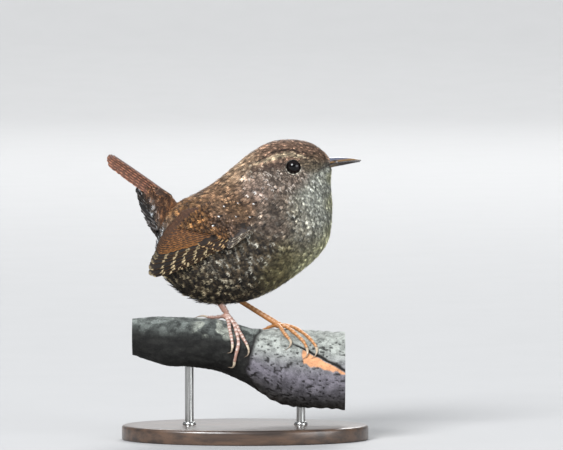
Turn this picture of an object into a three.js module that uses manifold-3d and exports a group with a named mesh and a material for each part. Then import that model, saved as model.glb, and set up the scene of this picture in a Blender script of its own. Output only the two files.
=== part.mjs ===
// A winter wren, life size, perched with its tail cocked on a cut length of branch.
// The branch is held over an oval display base by two short rods.
// Millimetres, +Z up. The bird faces +X, so its right side is towards -Y.
// The origin is the middle of the base's underside.

import * as THREE from "three";
import { mergeVertices } from "three/addons/utils/BufferGeometryUtils.js";
import Module from "manifold-3d";

const wasm = await Module();
wasm.setup();

// Driving dimensions.
const GAP = 0.3; // between neighbouring pieces
const RIGHT = -1; // the side of the bird that a value is for, along Y
const LEFT = 1;
const SIDES = [
  ["right", RIGHT],
  ["left", LEFT],
];

const TAIL_LENGTH = 29.8;
const TAIL_RISE = THREE.MathUtils.degToRad(36.7); // the tail's angle above level, pointing back
const TAIL_ROOT = new THREE.Vector3(-23.2, 0, 78.2);
const TAIL_PAIRS = 6; // twelve tail feathers
const TAIL_FEATHER_WIDTH = 3.5;
const TIP_ROUNDING = 1.5; // how much shorter the middle and the outermost tail feathers are

const VANE_THICKNESS = 0.55;

const EYE = { x: 16.5, y: 5.95, z: 93.2, radius: 2.9 };
const LID = { y: 7.95, radius: 2.45, thickness: 0.5 };

const BILL_ROOT_X = 28.6;
const BILL_TIP_X = 39.4;
const BILL_WIDTH = 3.8;

const TOE_RADIUS = 0.56;
const CLAW_RADIUS = 0.46;

const BASE = { length: 84, width: 52, height: 5, bevel: 1 };
const ROD = { radius: 1.5, xs: [-19, 19] };

// The body's outline. Each station pairs a point on the back with one on the belly, and gives the
// half width between them. Pear is how much the belly side is wider than the back side.
const BODY = [
  { back: [-26.9, 76.8], belly: [-28.9, 71.1], half: 2.6, pear: 0 },
  { back: [-25.8, 78.4], belly: [-29.9, 64.6], half: 5.4, pear: 0 },
  { back: [-23.8, 80.1], belly: [-27.2, 55.8], half: 9.0, pear: 0.04 },
  { back: [-20.7, 81.9], belly: [-16.7, 47.9], half: 12.6, pear: 0.06 },
  { back: [-16.0, 84.3], belly: [1.0, 47.4], half: 14.9, pear: 0.08 },
  { back: [-9.5, 88.4], belly: [18.7, 57.1], half: 15.2, pear: 0.1 },
  { back: [-3.1, 93.7], belly: [27.9, 67.0], half: 13.3, pear: 0.14 },
  { back: [2.4, 98.1], belly: [29.6, 78.5], half: 10.2, pear: 0.14 },
  { back: [8.5, 101.3], belly: [29.2, 86.0], half: 8.0, pear: 0.06 },
  { back: [15.3, 102.2], belly: [29.2, 89.9], half: 7.2, pear: 0 },
  { back: [21.4, 101.3], belly: [29.4, 91.8], half: 5.5, pear: 0 },
  { back: [25.5, 99.1], belly: [29.2, 92.5], half: 3.7, pear: 0 },
  { back: [28.2, 96.2], belly: [28.7, 93.0], half: 2.1, pear: 0 },
];
const NECK_STATION = 5.9; // where the torso ends and the neck starts
const HEAD_STATION = 7.0; // where the neck ends and the head starts
const LAST_STATION = BODY.length - 1;

// The branch's middle line and radius, from its cut left end to its cut right end.
const BRANCH = [
  { x: -38.4, y: 1.5, z: 35.0, radius: 6.0 },
  { x: -27.5, y: 0.6, z: 33.4, radius: 7.8 },
  { x: -18.0, y: 0.1, z: 33.3, radius: 8.3 },
  { x: -8.5, y: 0, z: 31.8, radius: 9.0 },
  { x: 2.7, y: 0, z: 27.7, radius: 9.8 },
  { x: 10.2, y: 0, z: 25.5, radius: 12.0 },
  { x: 19.7, y: 0, z: 24.0, radius: 13.1 },
  { x: 34.0, y: -0.8, z: 23.5, radius: 13.4 },
];

const sum = (a, b) => a.clone().add(b);
const difference = (a, b) => a.clone().sub(b);
const scaled = (a, amount) => a.clone().multiplyScalar(amount);
const Y_AXIS = new THREE.Vector3(0, 1, 0);
const spline = (pairs) => new THREE.SplineCurve(pairs.map(([x, z]) => new THREE.Vector2(x, z)));

// Solids

// The triangles of a surface as a solid. Its faces are turned round if they point inwards.
function solid(geometry, tolerance = 1e-4) {
  const bare = new THREE.BufferGeometry();
  bare.setAttribute("position", geometry.getAttribute("position"));
  if (geometry.index) bare.setIndex(geometry.index);
  const merged = mergeVertices(bare, tolerance);
  const vertProperties = new Float32Array(merged.getAttribute("position").array);
  const build = (triVerts) => {
    return new wasm.Manifold(new wasm.Mesh({ numProp: 3, vertProperties, triVerts }));
  };
  const corners = new Uint32Array(merged.index.array);
  const made = build(corners);
  if (made.volume() > 0) return made;
  for (let i = 0; i < corners.length; i += 3) {
    [corners[i + 1], corners[i + 2]] = [corners[i + 2], corners[i + 1]];
  }
  return build(corners);
}

// The largest closed surface of a solid, which drops loose scraps and fills sealed hollows. It is
// taken twice, as merging the points of a very thin crack can seal one more hollow.
function largest(whole) {
  const pick = (pieces) => {
    return pieces.reduce((best, piece) => (piece.volume() > best.volume() ? piece : best));
  };
  const first = pick(whole.decompose());
  return pick(solid(geometryOf(first), 1e-3).decompose());
}

function geometryOf(whole) {
  const mesh = whole.getMesh();
  const geometry = new THREE.BufferGeometry();
  geometry.setAttribute("position", new THREE.BufferAttribute(mesh.vertProperties, 3));
  geometry.setIndex(new THREE.BufferAttribute(mesh.triVerts, 1));
  geometry.computeVertexNormals();
  return geometry;
}

const joined = (solids) => solids.reduce((whole, piece) => whole.add(piece));
const cut = (whole, cutters) => cutters.reduce((left, cutter) => left.subtract(cutter), whole);

// A closed surface through rings that all have the same number of points.
function loft(rings) {
  const count = rings[0].length;
  const points = rings.flat();
  const corners = [];
  for (let i = 0; i + 1 < rings.length; i += 1) {
    for (let k = 0; k < count; k += 1) {
      const next = (k + 1) % count;
      const [a, b] = [i * count + k, i * count + next];
      corners.push(a, b, b + count, a, b + count, a + count);
    }
  }
  const last = (rings.length - 1) * count;
  for (let k = 1; k + 1 < count; k += 1) {
    corners.push(0, k + 1, k, last, last + k, last + k + 1);
  }
  const geometry = new THREE.BufferGeometry().setFromPoints(points);
  geometry.setIndex(corners);
  return geometry;
}

// A tube along a smooth curve. The radius is a function of the share of the length, and flat
// squeezes the section across the given direction.
function tube(points, radius, { steps = 10, sides = 8, flat = 1 } = {}) {
  const curve = new THREE.CatmullRomCurve3(points);
  const frames = curve.computeFrenetFrames(steps, false);
  const rings = [];
  for (let i = 0; i <= steps; i += 1) {
    const centre = curve.getPointAt(i / steps);
    const size = radius(i / steps);
    const ring = [];
    for (let k = 0; k < sides; k += 1) {
      const angle = (2 * Math.PI * k) / sides;
      const along = scaled(frames.normals[i], Math.cos(angle) * size);
      const across = scaled(frames.binormals[i], Math.sin(angle) * size);
      const offset = sum(along, across);
      offset.y *= flat;
      ring.push(sum(centre, offset));
    }
    rings.push(ring);
  }
  return loft(rings);
}

function ellipsoid(centre, radii, detail = 12) {
  const geometry = new THREE.SphereGeometry(1, detail, Math.round(detail / 2));
  geometry.scale(...radii);
  geometry.translate(centre.x, centre.y, centre.z);
  return geometry;
}

// Body

const backCurve = new THREE.CatmullRomCurve3(
  BODY.map((s) => new THREE.Vector3(s.back[0], s.half, s.back[1])),
);
const bellyCurve = new THREE.CatmullRomCurve3(
  BODY.map((s) => new THREE.Vector3(s.belly[0], s.pear * 10, s.belly[1])),
);

// The body's section at a station: its middle, the half line from there to the back, and widths.
function bodySection(station) {
  const back = backCurve.getPoint(station / LAST_STATION);
  const belly = bellyCurve.getPoint(station / LAST_STATION);
  const half = back.y;
  const pear = belly.y / 10;
  back.y = 0;
  belly.y = 0;
  const middle = scaled(sum(back, belly), 0.5);
  const rise = scaled(difference(back, belly), 0.5);
  return { middle, rise, half, pear };
}

function bodyRing(station, { grow = 0, shift = 0, sides = 36 } = {}) {
  const { middle, rise, half, pear } = bodySection(station);
  const forward = new THREE.Vector3().crossVectors(Y_AXIS, rise).normalize();
  const tall = scaled(rise, 1 + grow / rise.length());
  const ring = [];
  for (let k = 0; k < sides; k += 1) {
    const angle = (2 * Math.PI * k) / sides;
    const width = (half + grow) * Math.sin(angle) * (1 - pear * Math.cos(angle));
    const point = sum(middle, scaled(tall, Math.cos(angle)));
    point.y += width;
    ring.push(point.addScaledVector(forward, shift));
  }
  return ring;
}

// A length of the body between two stations, drawn in by half a gap where it meets the next one.
function bodyLength(from, to, steps, { sides, grow = 0 } = {}) {
  const rings = [];
  for (let i = 0; i <= steps; i += 1) {
    let shift = 0;
    if (i === 0 && from > 0) shift = GAP / 2;
    if (i === steps && to < LAST_STATION) shift = -GAP / 2;
    rings.push(bodyRing(from + ((to - from) * i) / steps, { grow, shift, sides }));
  }
  return loft(rings);
}

// How far the body's side lies from its middle plane at a place in the side view.
function bodyHalfWidth(x, z) {
  const place = new THREE.Vector3(x, 0, z);
  const offset = (section) => {
    const across = new THREE.Vector3().crossVectors(Y_AXIS, section.rise).normalize();
    return difference(place, section.middle).dot(across);
  };
  const STEP = 0.05;
  let before = bodySection(0);
  for (let station = STEP; station <= LAST_STATION; station += STEP) {
    const section = bodySection(station);
    if (offset(before) >= 0 && offset(section) < 0) {
      const height = difference(place, section.middle).dot(section.rise) / section.rise.lengthSq();
      if (Math.abs(height) >= 1) return 0;
      return section.half * Math.sqrt(1 - height * height) * (1 - section.pear * height);
    }
    before = section;
  }
  return 0;
}

const eyeBall = (side, radius, detail) => {
  const centre = new THREE.Vector3(EYE.x, side * EYE.y, EYE.z);
  return ellipsoid(centre, [radius, radius, radius], detail);
};

function torsoSolid(grow = 0) {
  return solid(bodyLength(0, NECK_STATION, 17, { grow, sides: 26 }));
}

function headSolid() {
  const parts = [solid(bodyLength(HEAD_STATION, LAST_STATION, 13, { sides: 26 }))];
  const holes = [upperBill(GAP), lowerBill(GAP)];
  for (const [, side] of SIDES) {
    const rim = new THREE.TorusGeometry(LID.radius, LID.thickness, 5, 14);
    rim.rotateX(Math.PI / 2);
    rim.rotateZ(side * -0.12);
    rim.translate(EYE.x, side * LID.y, EYE.z);
    parts.push(solid(rim));
    holes.push(solid(eyeBall(side, EYE.radius + GAP, 14)));
    holes.push(solid(gapeGroove(side)));
  }
  return largest(cut(joined(parts), holes));
}

// The corner of the mouth, a shallow groove that runs back from the bill along the cheek.
function gapeGroove(side) {
  const DEPTH = 0.5;
  const points = [
    new THREE.Vector3(29.4, side * 2.2, 93.55),
    new THREE.Vector3(27.6, side * 3.1, 93.1),
    new THREE.Vector3(25.6, side * 4.3, 92.5),
  ];
  return tube(points, (t) => DEPTH * (1 - 0.6 * t), { steps: 5, sides: 6 });
}

// Bill

// The mouth line's height, which droops towards the face.
const mouthHeight = (t) => 93.7 + 1.5 * Math.pow(t, 0.55);
const billHalfWidth = (t) => (BILL_WIDTH / 2) * (1 - t) + 0.22 * t + 0.25 * Math.sin(Math.PI * t);

// The upper half of the bill. Grow thickens it all round, for cutting its place in the face.
function upperBill(grow = 0) {
  const STEPS = grow > 0 ? 4 : 12;
  const ARCH = grow > 0 ? 4 : 8;
  const ridge = new THREE.SplineCurve([
    new THREE.Vector2(0, 96.1),
    new THREE.Vector2(0.4, 96.2),
    new THREE.Vector2(0.75, 95.95),
    new THREE.Vector2(1, 95.3),
  ]);
  const rings = [];
  for (let i = 0; i <= STEPS; i += 1) {
    const t = i / STEPS;
    const x = THREE.MathUtils.lerp(BILL_ROOT_X - grow, BILL_TIP_X, t);
    const low = mouthHeight(t) + GAP / 2 - 0.35 * Math.pow(t, 6) - grow;
    const top = ridge.getPoint(t).y + grow;
    const ring = [];
    for (let k = 0; k <= ARCH; k += 1) {
      const angle = (Math.PI * k) / ARCH;
      const out = Math.cos(angle) * (billHalfWidth(t) + grow);
      const up = Math.pow(Math.sin(angle), 0.85) * (top - low);
      ring.push(new THREE.Vector3(x, out, low + up));
    }
    rings.push(ring);
  }
  return solid(loft(rings));
}

function nostril(side) {
  const slit = ellipsoid(new THREE.Vector3(0, 0, 0), [0.95, 0.5, 0.28], 8);
  slit.rotateY(0.12);
  slit.translate(30.5, side * 1.72, 94.95);
  return solid(slit);
}

// The lower half of the bill, which ends just short of the tip.
function lowerBill(grow = 0) {
  const STEPS = grow > 0 ? 4 : 10;
  const ARCH = grow > 0 ? 4 : 8;
  const LENGTH_SHARE = 0.97;
  const rings = [];
  for (let i = 0; i <= STEPS; i += 1) {
    const t = (i / STEPS) * LENGTH_SHARE;
    const x = THREE.MathUtils.lerp(BILL_ROOT_X + 0.25 - grow, BILL_TIP_X, t);
    const top = mouthHeight(t) - GAP / 2 - 0.35 * Math.pow(t, 6) + grow;
    const depth = 1.05 * (1 - t) + 0.22 + 0.28 * Math.sin(Math.PI * t) + 2 * grow;
    const ring = [];
    for (let k = 0; k <= ARCH; k += 1) {
      const angle = (Math.PI * k) / ARCH;
      const out = Math.cos(angle) * (billHalfWidth(t) * 0.92 + grow);
      ring.push(new THREE.Vector3(x, -out, top - Math.pow(Math.sin(angle), 0.8) * depth));
    }
    rings.push(ring);
  }
  return solid(loft(rings));
}

// Feathers

// A flat feather. Place turns a share of the length, a distance across and a lift into a point.
// Both faces are split into triangles alike, so that they stay apart where the feather curves.
function vane(place, { width, steps = 4, thickness = VANE_THICKNESS, tip = 0.3 }) {
  const points = [];
  const corners = [];
  for (let i = 0; i <= steps; i += 1) {
    const t = i / steps;
    const outline = t < 0.75 ? 0.72 + 0.28 * Math.sin((t / 0.75) * (Math.PI / 2)) : 1;
    const share = i === steps ? tip : outline;
    const thick = i === steps ? thickness * 0.6 : thickness;
    const half = (width / 2) * share;
    points.push(
      place(t, -half, thick / 2),
      place(t, half, thick / 2),
      place(t, half, -thick / 2),
      place(t, -half, -thick / 2),
    );
  }
  const quad = (a, b, c, d) => corners.push(a, b, c, a, c, d);
  for (let i = 0; i < steps; i += 1) {
    const [here, next] = [4 * i, 4 * (i + 1)];
    quad(here, here + 1, next + 1, next);
    quad(here + 1, here + 2, next + 2, next + 1);
    corners.push(here + 3, next + 3, next + 2, here + 3, next + 2, here + 2);
    quad(here + 3, here, next, next + 3);
  }
  const last = 4 * steps;
  quad(3, 2, 1, 0);
  quad(last, last + 1, last + 2, last + 3);
  const geometry = new THREE.BufferGeometry().setFromPoints(points);
  geometry.setIndex(corners);
  return solid(geometry);
}

// Wing

const WRIST = new THREE.Vector2(3.7, 74.1);
const WING_ANGLE = THREE.MathUtils.degToRad(206); // from the wrist back and down to the wing tip
const WING_ALONG = new THREE.Vector2(Math.cos(WING_ANGLE), Math.sin(WING_ANGLE));
const WING_UP = new THREE.Vector2(WING_ALONG.y, -WING_ALONG.x);

// Distance of the folded wing's inner surface from the bird's middle plane. It follows the body
// where there is body under it, and a smooth curve towards the tail where there isn't.
function wingHalfWidth(x, z) {
  const AT_WRIST = 14.8;
  const FLARE = 0.14; // how the wing first spreads behind the wrist
  const CLOSING = 0.0088; // and then closes in towards its tip
  const CLEAR_OF_BODY = GAP + 0.25;
  const BLEND = 1.2;
  const place = new THREE.Vector2(x, z).sub(WRIST);
  const along = place.dot(WING_ALONG);
  const up = place.dot(WING_UP);
  const arch = up > 0 ? 0.065 : 0.024; // steeper towards the back, where the wing meets the body
  const free = AT_WRIST + FLARE * along - CLOSING * along * along - arch * up * up;
  const onBody = bodyHalfWidth(x, z) + CLEAR_OF_BODY;
  return 0.5 * (free + onBody + Math.sqrt((free - onBody) ** 2 + BLEND * BLEND));
}

// A point on the folded wing of one side, lifted off its inner surface.
function wingPoint(side, x, z, lift) {
  const STEP = 0.4;
  const slope = (dx, dz) => {
    return (wingHalfWidth(x + dx, z + dz) - wingHalfWidth(x - dx, z - dz)) / (2 * STEP);
  };
  const outward = new THREE.Vector3(-slope(STEP, 0), 1, -slope(0, STEP)).normalize();
  const point = new THREE.Vector3(x, wingHalfWidth(x, z), z).addScaledVector(outward, lift);
  point.y *= side;
  return point;
}

// One wing feather from a root to a tip in the side view, bowed a little upwards. Its lower edge
// stands off and its upper edge tucks under the next feather, as roof tiles do. Sunk is how far
// its root dips below its layer.
function wingFeather(side, root, tip, layer, { width, sunk = 0, steps = 4 }) {
  const BOW = 0.08;
  const TILT = 0.09;
  const middle = root.clone().lerp(tip, 0.5);
  const along = tip.clone().sub(root);
  const up = new THREE.Vector2(along.y, -along.x);
  const shaft = new THREE.QuadraticBezierCurve(root, middle.addScaledVector(up, BOW), tip);
  const place = (t, across, lift) => {
    const centre = shaft.getPoint(t);
    const tangent = shaft.getTangent(t);
    const x = centre.x + tangent.y * across;
    const z = centre.y - tangent.x * across;
    const depth = sunk * (1 - Math.min(1, 2.2 * t)) ** 2;
    return wingPoint(side, x, z, VANE_THICKNESS / 2 + layer - depth + lift - TILT * across);
  };
  return vane(place, { width, steps });
}

// Feather tiers of one wing, from the innermost layer out. Roots and tips run along curves in the
// side view, from the tier's first feather to its last.
const WING_TIERS = [
  {
    count: 8, // primaries, the outermost one first
    roots: [[-7.6, 67.0], [-4.6, 69.8]],
    tips: [[-20.1, 61.4], [-28.4, 57.9], [-31.8, 57.6], [-30.9, 61.2], [-29.4, 63.4]],
    width: 5.0,
    layers: [0.1, 1.3],
  },
  {
    count: 7, // secondaries, then the tertials nearest the back
    roots: [[-6.3, 70.4], [-10.5, 77.4]],
    tips: [[-28.8, 64.6], [-27.0, 67.6], [-24.6, 70.8], [-20.4, 75.4]],
    width: 5.8,
    layers: [1.4, 2.1],
  },
  {
    count: 3, // greater coverts of the primaries
    roots: [[0.6, 72.0], [0.4, 73.6]],
    tips: [[-8.8, 66.2], [-13.4, 66.8]],
    width: 3.6,
    layers: [1.6, 1.9],
    steps: 3,
  },
  {
    count: 6, // greater coverts of the secondaries
    roots: [[-0.4, 74.2], [-6.0, 80.6]],
    tips: [[-14.6, 66.8], [-17.2, 71.6], [-18.0, 77.6]],
    width: 4.8,
    layers: [2.15, 2.5],
    steps: 3,
  },
  {
    count: 5, // median coverts
    roots: [[3.0, 76.0], [-2.4, 83.2]],
    tips: [[-8.0, 70.6], [-10.8, 75.4], [-12.0, 80.6]],
    width: 4.4,
    layers: [2.5, 2.8],
    sunk: 1.9,
    steps: 3,
  },
  {
    count: 2, // the false wing at the wrist
    roots: [[1.9, 73.0], [2.1, 74.2]],
    tips: [[-6.2, 67.2], [-4.2, 69.8]],
    width: 2.6,
    layers: [2.1, 2.5],
    sunk: 1.9,
    steps: 3,
  },
  {
    count: 4, // scapulars, which lie over the wing's upper edge
    roots: [[-2.0, 84.2], [-6.6, 85.6]],
    tips: [[-14.0, 77.6], [-19.6, 78.0]],
    width: 5.0,
    layers: [2.2, 1.2],
    sunk: 1.9,
    steps: 3,
  },
];

function wingTier(side, { count, roots, tips, width, layers, sunk, steps }) {
  const [rootLine, tipLine] = [spline(roots), spline(tips)];
  const feathers = [];
  for (let i = 0; i < count; i += 1) {
    const share = i / (count - 1);
    const layer = THREE.MathUtils.lerp(layers[0], layers[1], share);
    const [root, tip] = [rootLine.getPoint(share), tipLine.getPoint(share)];
    feathers.push(wingFeather(side, root, tip, layer, { width, sunk, steps }));
  }
  return feathers;
}

// The wing's fleshy arm, a lens that lies on the body's side and carries all the feathers.
function wingArm(side) {
  const RINGS = 3;
  const SPOKES = 14;
  const CENTRE = new THREE.Vector2(-3.9, 76.4);
  const [LONG, TALL, THICK, SUNK] = [9.0, 6.8, 2.5, 1.6];
  const outer = [];
  for (let i = -RINGS; i <= RINGS; i += 1) {
    const radius = Math.cos((Math.PI / 2) * (i / RINGS));
    const height = Math.sin((Math.PI / 2) * (i / RINGS));
    const lift = height > 0 ? height * THICK : height * SUNK;
    const ring = [];
    for (let k = 0; k < SPOKES; k += 1) {
      const angle = (2 * Math.PI * k) / SPOKES;
      const reach = Math.max(radius, 0.02);
      const place = CENTRE.clone()
        .addScaledVector(WING_ALONG, LONG * reach * Math.cos(angle))
        .addScaledVector(WING_UP, TALL * reach * Math.sin(angle));
      ring.push(wingPoint(side, place.x, place.y, lift));
    }
    outer.push(ring);
  }
  return solid(loft(outer));
}

function wingSolid(side, clearTorso) {
  const feathers = WING_TIERS.flatMap((tier) => wingTier(side, tier));
  return largest(joined([wingArm(side), ...feathers]).subtract(clearTorso));
}

// Tail

const TAIL_BACK = new THREE.Vector3(-Math.cos(TAIL_RISE), 0, Math.sin(TAIL_RISE));
const TAIL_UP = new THREE.Vector3(Math.sin(TAIL_RISE), 0, Math.cos(TAIL_RISE));

// A tail feather: how far it reaches, where it lies across and above the middle of the tail, and
// how far it rolls over to the side. Towards the tip the feathers spread and sink a little.
function tailFeather(side, { length, out, rise, roll, width }) {
  const START = 3;
  const across = sum(scaled(Y_AXIS, side * Math.cos(roll)), scaled(TAIL_UP, -Math.sin(roll)));
  const face = sum(scaled(Y_AXIS, side * Math.sin(roll)), scaled(TAIL_UP, Math.cos(roll)));
  const place = (t, sideways, lift) => {
    return sum(TAIL_ROOT, scaled(TAIL_BACK, THREE.MathUtils.lerp(START, length, t)))
      .addScaledVector(Y_AXIS, side * THREE.MathUtils.lerp(0.4, 1, t) * out)
      .addScaledVector(TAIL_UP, rise * (1 - 0.25 * t * t))
      .addScaledVector(across, sideways)
      .addScaledVector(face, lift);
  };
  return vane(place, { width, steps: 3 });
}

// A feather under the root of the tail, from a root to a tip in the side view.
function ventFeather(side, root, tip, { out, roll, width }) {
  const along = tip.clone().sub(root).normalize();
  const outward = new THREE.Vector3(-along.y, 0, along.x).multiplyScalar(-1);
  const across = sum(scaled(Y_AXIS, side * Math.cos(roll)), scaled(outward, -Math.sin(roll)));
  const face = sum(scaled(Y_AXIS, side * Math.sin(roll)), scaled(outward, Math.cos(roll)));
  const place = (t, sideways, lift) => {
    const centre = root.clone().lerp(tip, t);
    return new THREE.Vector3(centre.x, side * out, centre.y)
      .addScaledVector(across, sideways)
      .addScaledVector(face, lift);
  };
  return vane(place, { width, steps: 3 });
}

// The tail's fleshy root with its downy underside, as sections like the body's.
const TAIL_CORE = [
  { back: [-22.4, 80.6], belly: [-27.0, 66.6], half: 4.6 },
  { back: [-25.6, 83.2], belly: [-30.2, 70.4], half: 4.2 },
  { back: [-28.8, 85.6], belly: [-32.4, 75.0], half: 3.4 },
  { back: [-32.2, 88.0], belly: [-34.4, 80.0], half: 2.4 },
  { back: [-35.4, 90.2], belly: [-36.0, 85.6], half: 1.4 },
];

function tailCore() {
  const SLICES = 12;
  const rings = TAIL_CORE.map(({ back, belly, half }) => {
    const ring = [];
    for (let k = 0; k < SLICES; k += 1) {
      const angle = (2 * Math.PI * k) / SLICES;
      const share = (1 + Math.cos(angle)) / 2;
      const x = THREE.MathUtils.lerp(belly[0], back[0], share);
      const z = THREE.MathUtils.lerp(belly[1], back[1], share);
      ring.push(new THREE.Vector3(x, half * Math.sin(angle), z));
    }
    return ring;
  });
  return solid(loft(rings));
}

const UNDER_TAIL_PAIRS = 6;
const underTailRoots = spline([[-33.6, 80.6], [-30.2, 73.4], [-26.6, 65.6]]);
const underTailTips = spline([[-37.4, 86.0], [-36.3, 81.6], [-34.9, 77.0], [-32.5, 72.2], [-29.6, 68.4]]);

function tailSolid() {
  const parts = [tailCore()];
  for (const [, side] of SIDES) {
    for (let pair = 0; pair < TAIL_PAIRS; pair += 1) {
      const outer = pair / (TAIL_PAIRS - 1);
      parts.push(
        tailFeather(side, {
          length: TAIL_LENGTH - TIP_ROUNDING * (2 * outer - 1) ** 2,
          out: 0.8 + 2.2 * outer,
          rise: 2.9 - 3.2 * Math.pow(outer, 1.2),
          roll: 0.12 + 0.85 * outer,
          width: TAIL_FEATHER_WIDTH,
        }),
      );
    }
    // Upper tail coverts, over the root of the tail.
    for (let i = 0; i < 2; i += 1) {
      parts.push(
        tailFeather(side, {
          length: 12.5 - 2 * i,
          out: 1.0 + 1.3 * i,
          rise: 3.1 - 0.9 * i,
          roll: 0.25 + 0.45 * i,
          width: TAIL_FEATHER_WIDTH,
        }),
      );
    }
    for (let i = 0; i < UNDER_TAIL_PAIRS; i += 1) {
      const share = i / (UNDER_TAIL_PAIRS - 1);
      const [root, tip] = [underTailRoots.getPoint(share), underTailTips.getPoint(share)];
      const outer = i % 2;
      parts.push(
        ventFeather(side, root, tip, { out: 1.1 + 1.3 * outer, roll: 0.5 + 0.45 * outer, width: 2.8 }),
      );
    }
  }
  return joined(parts);
}

// Branch

const branchLine = new THREE.CatmullRomCurve3(
  BRANCH.map((s) => new THREE.Vector3(s.x, s.y, s.z)),
  false,
  "catmullrom",
);
const branchGirth = new THREE.CatmullRomCurve3(
  BRANCH.map((s) => new THREE.Vector3(s.x, s.radius, 0)),
  false,
  "catmullrom",
);

// The curve's value at a given X, found by halving.
function atX(curve, x) {
  let [low, high] = [0, 1];
  for (let i = 0; i < 24; i += 1) {
    const middle = (low + high) / 2;
    if (curve.getPoint(middle).x < x) low = middle;
    else high = middle;
  }
  return curve.getPoint((low + high) / 2);
}

// A point at an angle round the branch, in degrees from its top towards the right side of the
// bird, and at a height over the bark.
function onBranch(x, degrees, height = 0) {
  const angle = THREE.MathUtils.degToRad(degrees);
  const centre = atX(branchLine, x);
  const knobs = 0.3 * Math.sin(2 * angle + 0.16 * x) + 0.2 * Math.sin(3 * angle - 0.23 * x + 1);
  const radius = atX(branchGirth, x).y + knobs + height;
  return new THREE.Vector3(x, centre.y - radius * Math.sin(angle), centre.z + radius * Math.cos(angle));
}

function branchSolid(grow = 0) {
  const STEPS = 20;
  const SLICES = 22;
  const [first, last] = [BRANCH[0].x - grow, BRANCH[BRANCH.length - 1].x + grow];
  const rings = [];
  for (let i = 0; i <= STEPS; i += 1) {
    const x = THREE.MathUtils.lerp(first, last, i / STEPS);
    const ring = [];
    for (let k = 0; k < SLICES; k += 1) ring.push(onBranch(x, (360 * k) / SLICES, grow));
    rings.push(ring);
  }
  return solid(loft(rings));
}

// Legs and feet

// Each toe is a line of places on the branch: X, degrees round it, and height over the bark.
// The last place is where the claw starts, and claw goes on from there to its tip.
const FEET = {
  right: {
    ankle: new THREE.Vector3(-6.9, -3.0, 44.3),
    heel: new THREE.Vector3(-15.5, -7.2, 57.5),
    sole: [-6.3, 14, 2.5],
    toes: {
      outer: {
        toe: [[-6.6, 12, 3.0], [-5.6, 27, 1.7], [-5.2, 41, 0.95], [-4.5, 64, 0.9], [-4.2, 74, 0.95]],
        claw: [[-4.3, 82, 1.3], [-4.7, 90, 1.0], [-6.2, 96, 0.5]],
      },
      middle: {
        toe: [[-5.8, 14, 3.0], [-3.9, 27, 1.8], [-2.8, 46, 0.95], [-2.2, 68, 0.95], [-2.9, 89, 0.9],
          [-3.5, 106, 0.95]],
        claw: [[-3.7, 114, 1.3], [-4.3, 122, 1.0], [-5.8, 129, 0.5]],
      },
      inner: {
        toe: [[-5.6, 9, 2.7], [-3.3, 24, 1.6], [-2.0, 39, 1.05], [-0.4, 55, 1.0], [0.7, 64, 1.0]],
        claw: [[1.3, 74, 1.35], [1.0, 83, 1.0], [-0.3, 91, 0.5]],
      },
      hind: {
        toe: [[-7.0, 8, 2.4], [-8.8, 0, 1.5], [-11.0, -7, 1.0], [-12.8, -11, 0.95]],
        claw: [[-14.2, -14, 1.35], [-15.9, -17, 1.1], [-17.4, -20, 0.5]],
      },
    },
  },
  left: {
    ankle: new THREE.Vector3(9.9, 1.0, 40.0),
    heel: new THREE.Vector3(-4.5, 5.2, 48.6),
    sole: [11.2, -3, 1.5],
    toes: {
      inner: {
        toe: [[11.2, 2, 1.9], [12.2, 15, 1.6], [13.4, 28, 1.15], [15.2, 40, 0.95]],
        claw: [[15.6, 47, 1.3], [15.0, 54, 1.0], [13.4, 60, 0.5]],
      },
      middle: {
        toe: [[11.4, -2, 1.9], [14.4, 9, 1.5], [17.4, 26, 1.0], [19.8, 41, 0.95], [21.0, 53, 0.95]],
        claw: [[21.2, 60, 1.3], [20.9, 66, 1.0], [19.6, 71, 0.5]],
      },
      outer: {
        toe: [[11.6, -5, 1.8], [15.8, -2, 1.4], [19.4, 18, 1.0], [22.4, 37, 0.95], [24.2, 51, 0.95]],
        claw: [[24.4, 59, 1.3], [23.8, 65, 1.0], [22.3, 70, 0.5]],
      },
      hind: {
        toe: [[10.2, -6, 1.7], [8.4, -13, 1.2], [6.4, -22, 0.95], [5.0, -30, 0.95]],
        claw: [[4.1, -37, 1.35], [3.0, -44, 1.05], [1.6, -50, 0.5]],
      },
    },
  },
};

const branchPath = (places) => places.map((place) => onBranch(...place));

// Toes swell at each joint and narrow towards the claw.
const toeRadius = (t) => TOE_RADIUS * (1.16 - 0.26 * t) * (1 + 0.09 * Math.sin(6 * Math.PI * t));

function footSolid({ ankle, sole, heel, toes }, clearBranch) {
  const palm = onBranch(...sole);
  const parts = Object.values(toes).map(({ toe }) => {
    return solid(tube(branchPath(toe), toeRadius, { steps: 3 * (toe.length - 1), sides: 6 }));
  });
  parts.push(solid(ellipsoid(palm, [1.45, 1.25, 1.15], 8)));
  const along = difference(ankle, heel).normalize();
  const neck = [sum(ankle, scaled(along, -0.4)), sum(ankle, scaled(along, 0.8)), palm];
  parts.push(solid(tube(neck, () => 0.92, { steps: 3, sides: 8 })));
  return largest(cut(joined(parts), [clearBranch, legShape({ ankle, heel }, GAP)]));
}

// The claw starts a gap beyond the end of its toe and curves down to a point.
function clawSolid({ toe, claw }) {
  const [before, end] = branchPath(toe.slice(-2));
  const start = sum(end, difference(end, before).setLength(GAP));
  const line = [start, ...branchPath(claw)];
  return solid(tube(line, (t) => CLAW_RADIUS * (1 - 0.82 * t), { steps: 6, sides: 6 }));
}

// The lower leg, from inside the belly feathers down to the ankle.
function legShape({ ankle, heel }, grow = 0) {
  const end = sum(ankle, difference(ankle, heel).setLength(grow));
  const radius = (t) => 0.85 + 0.12 * t * t + grow;
  const line = [heel, heel.clone().lerp(end, 0.5), end];
  return solid(tube(line, radius, { steps: 6, sides: 10, flat: 0.8 }));
}

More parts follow.
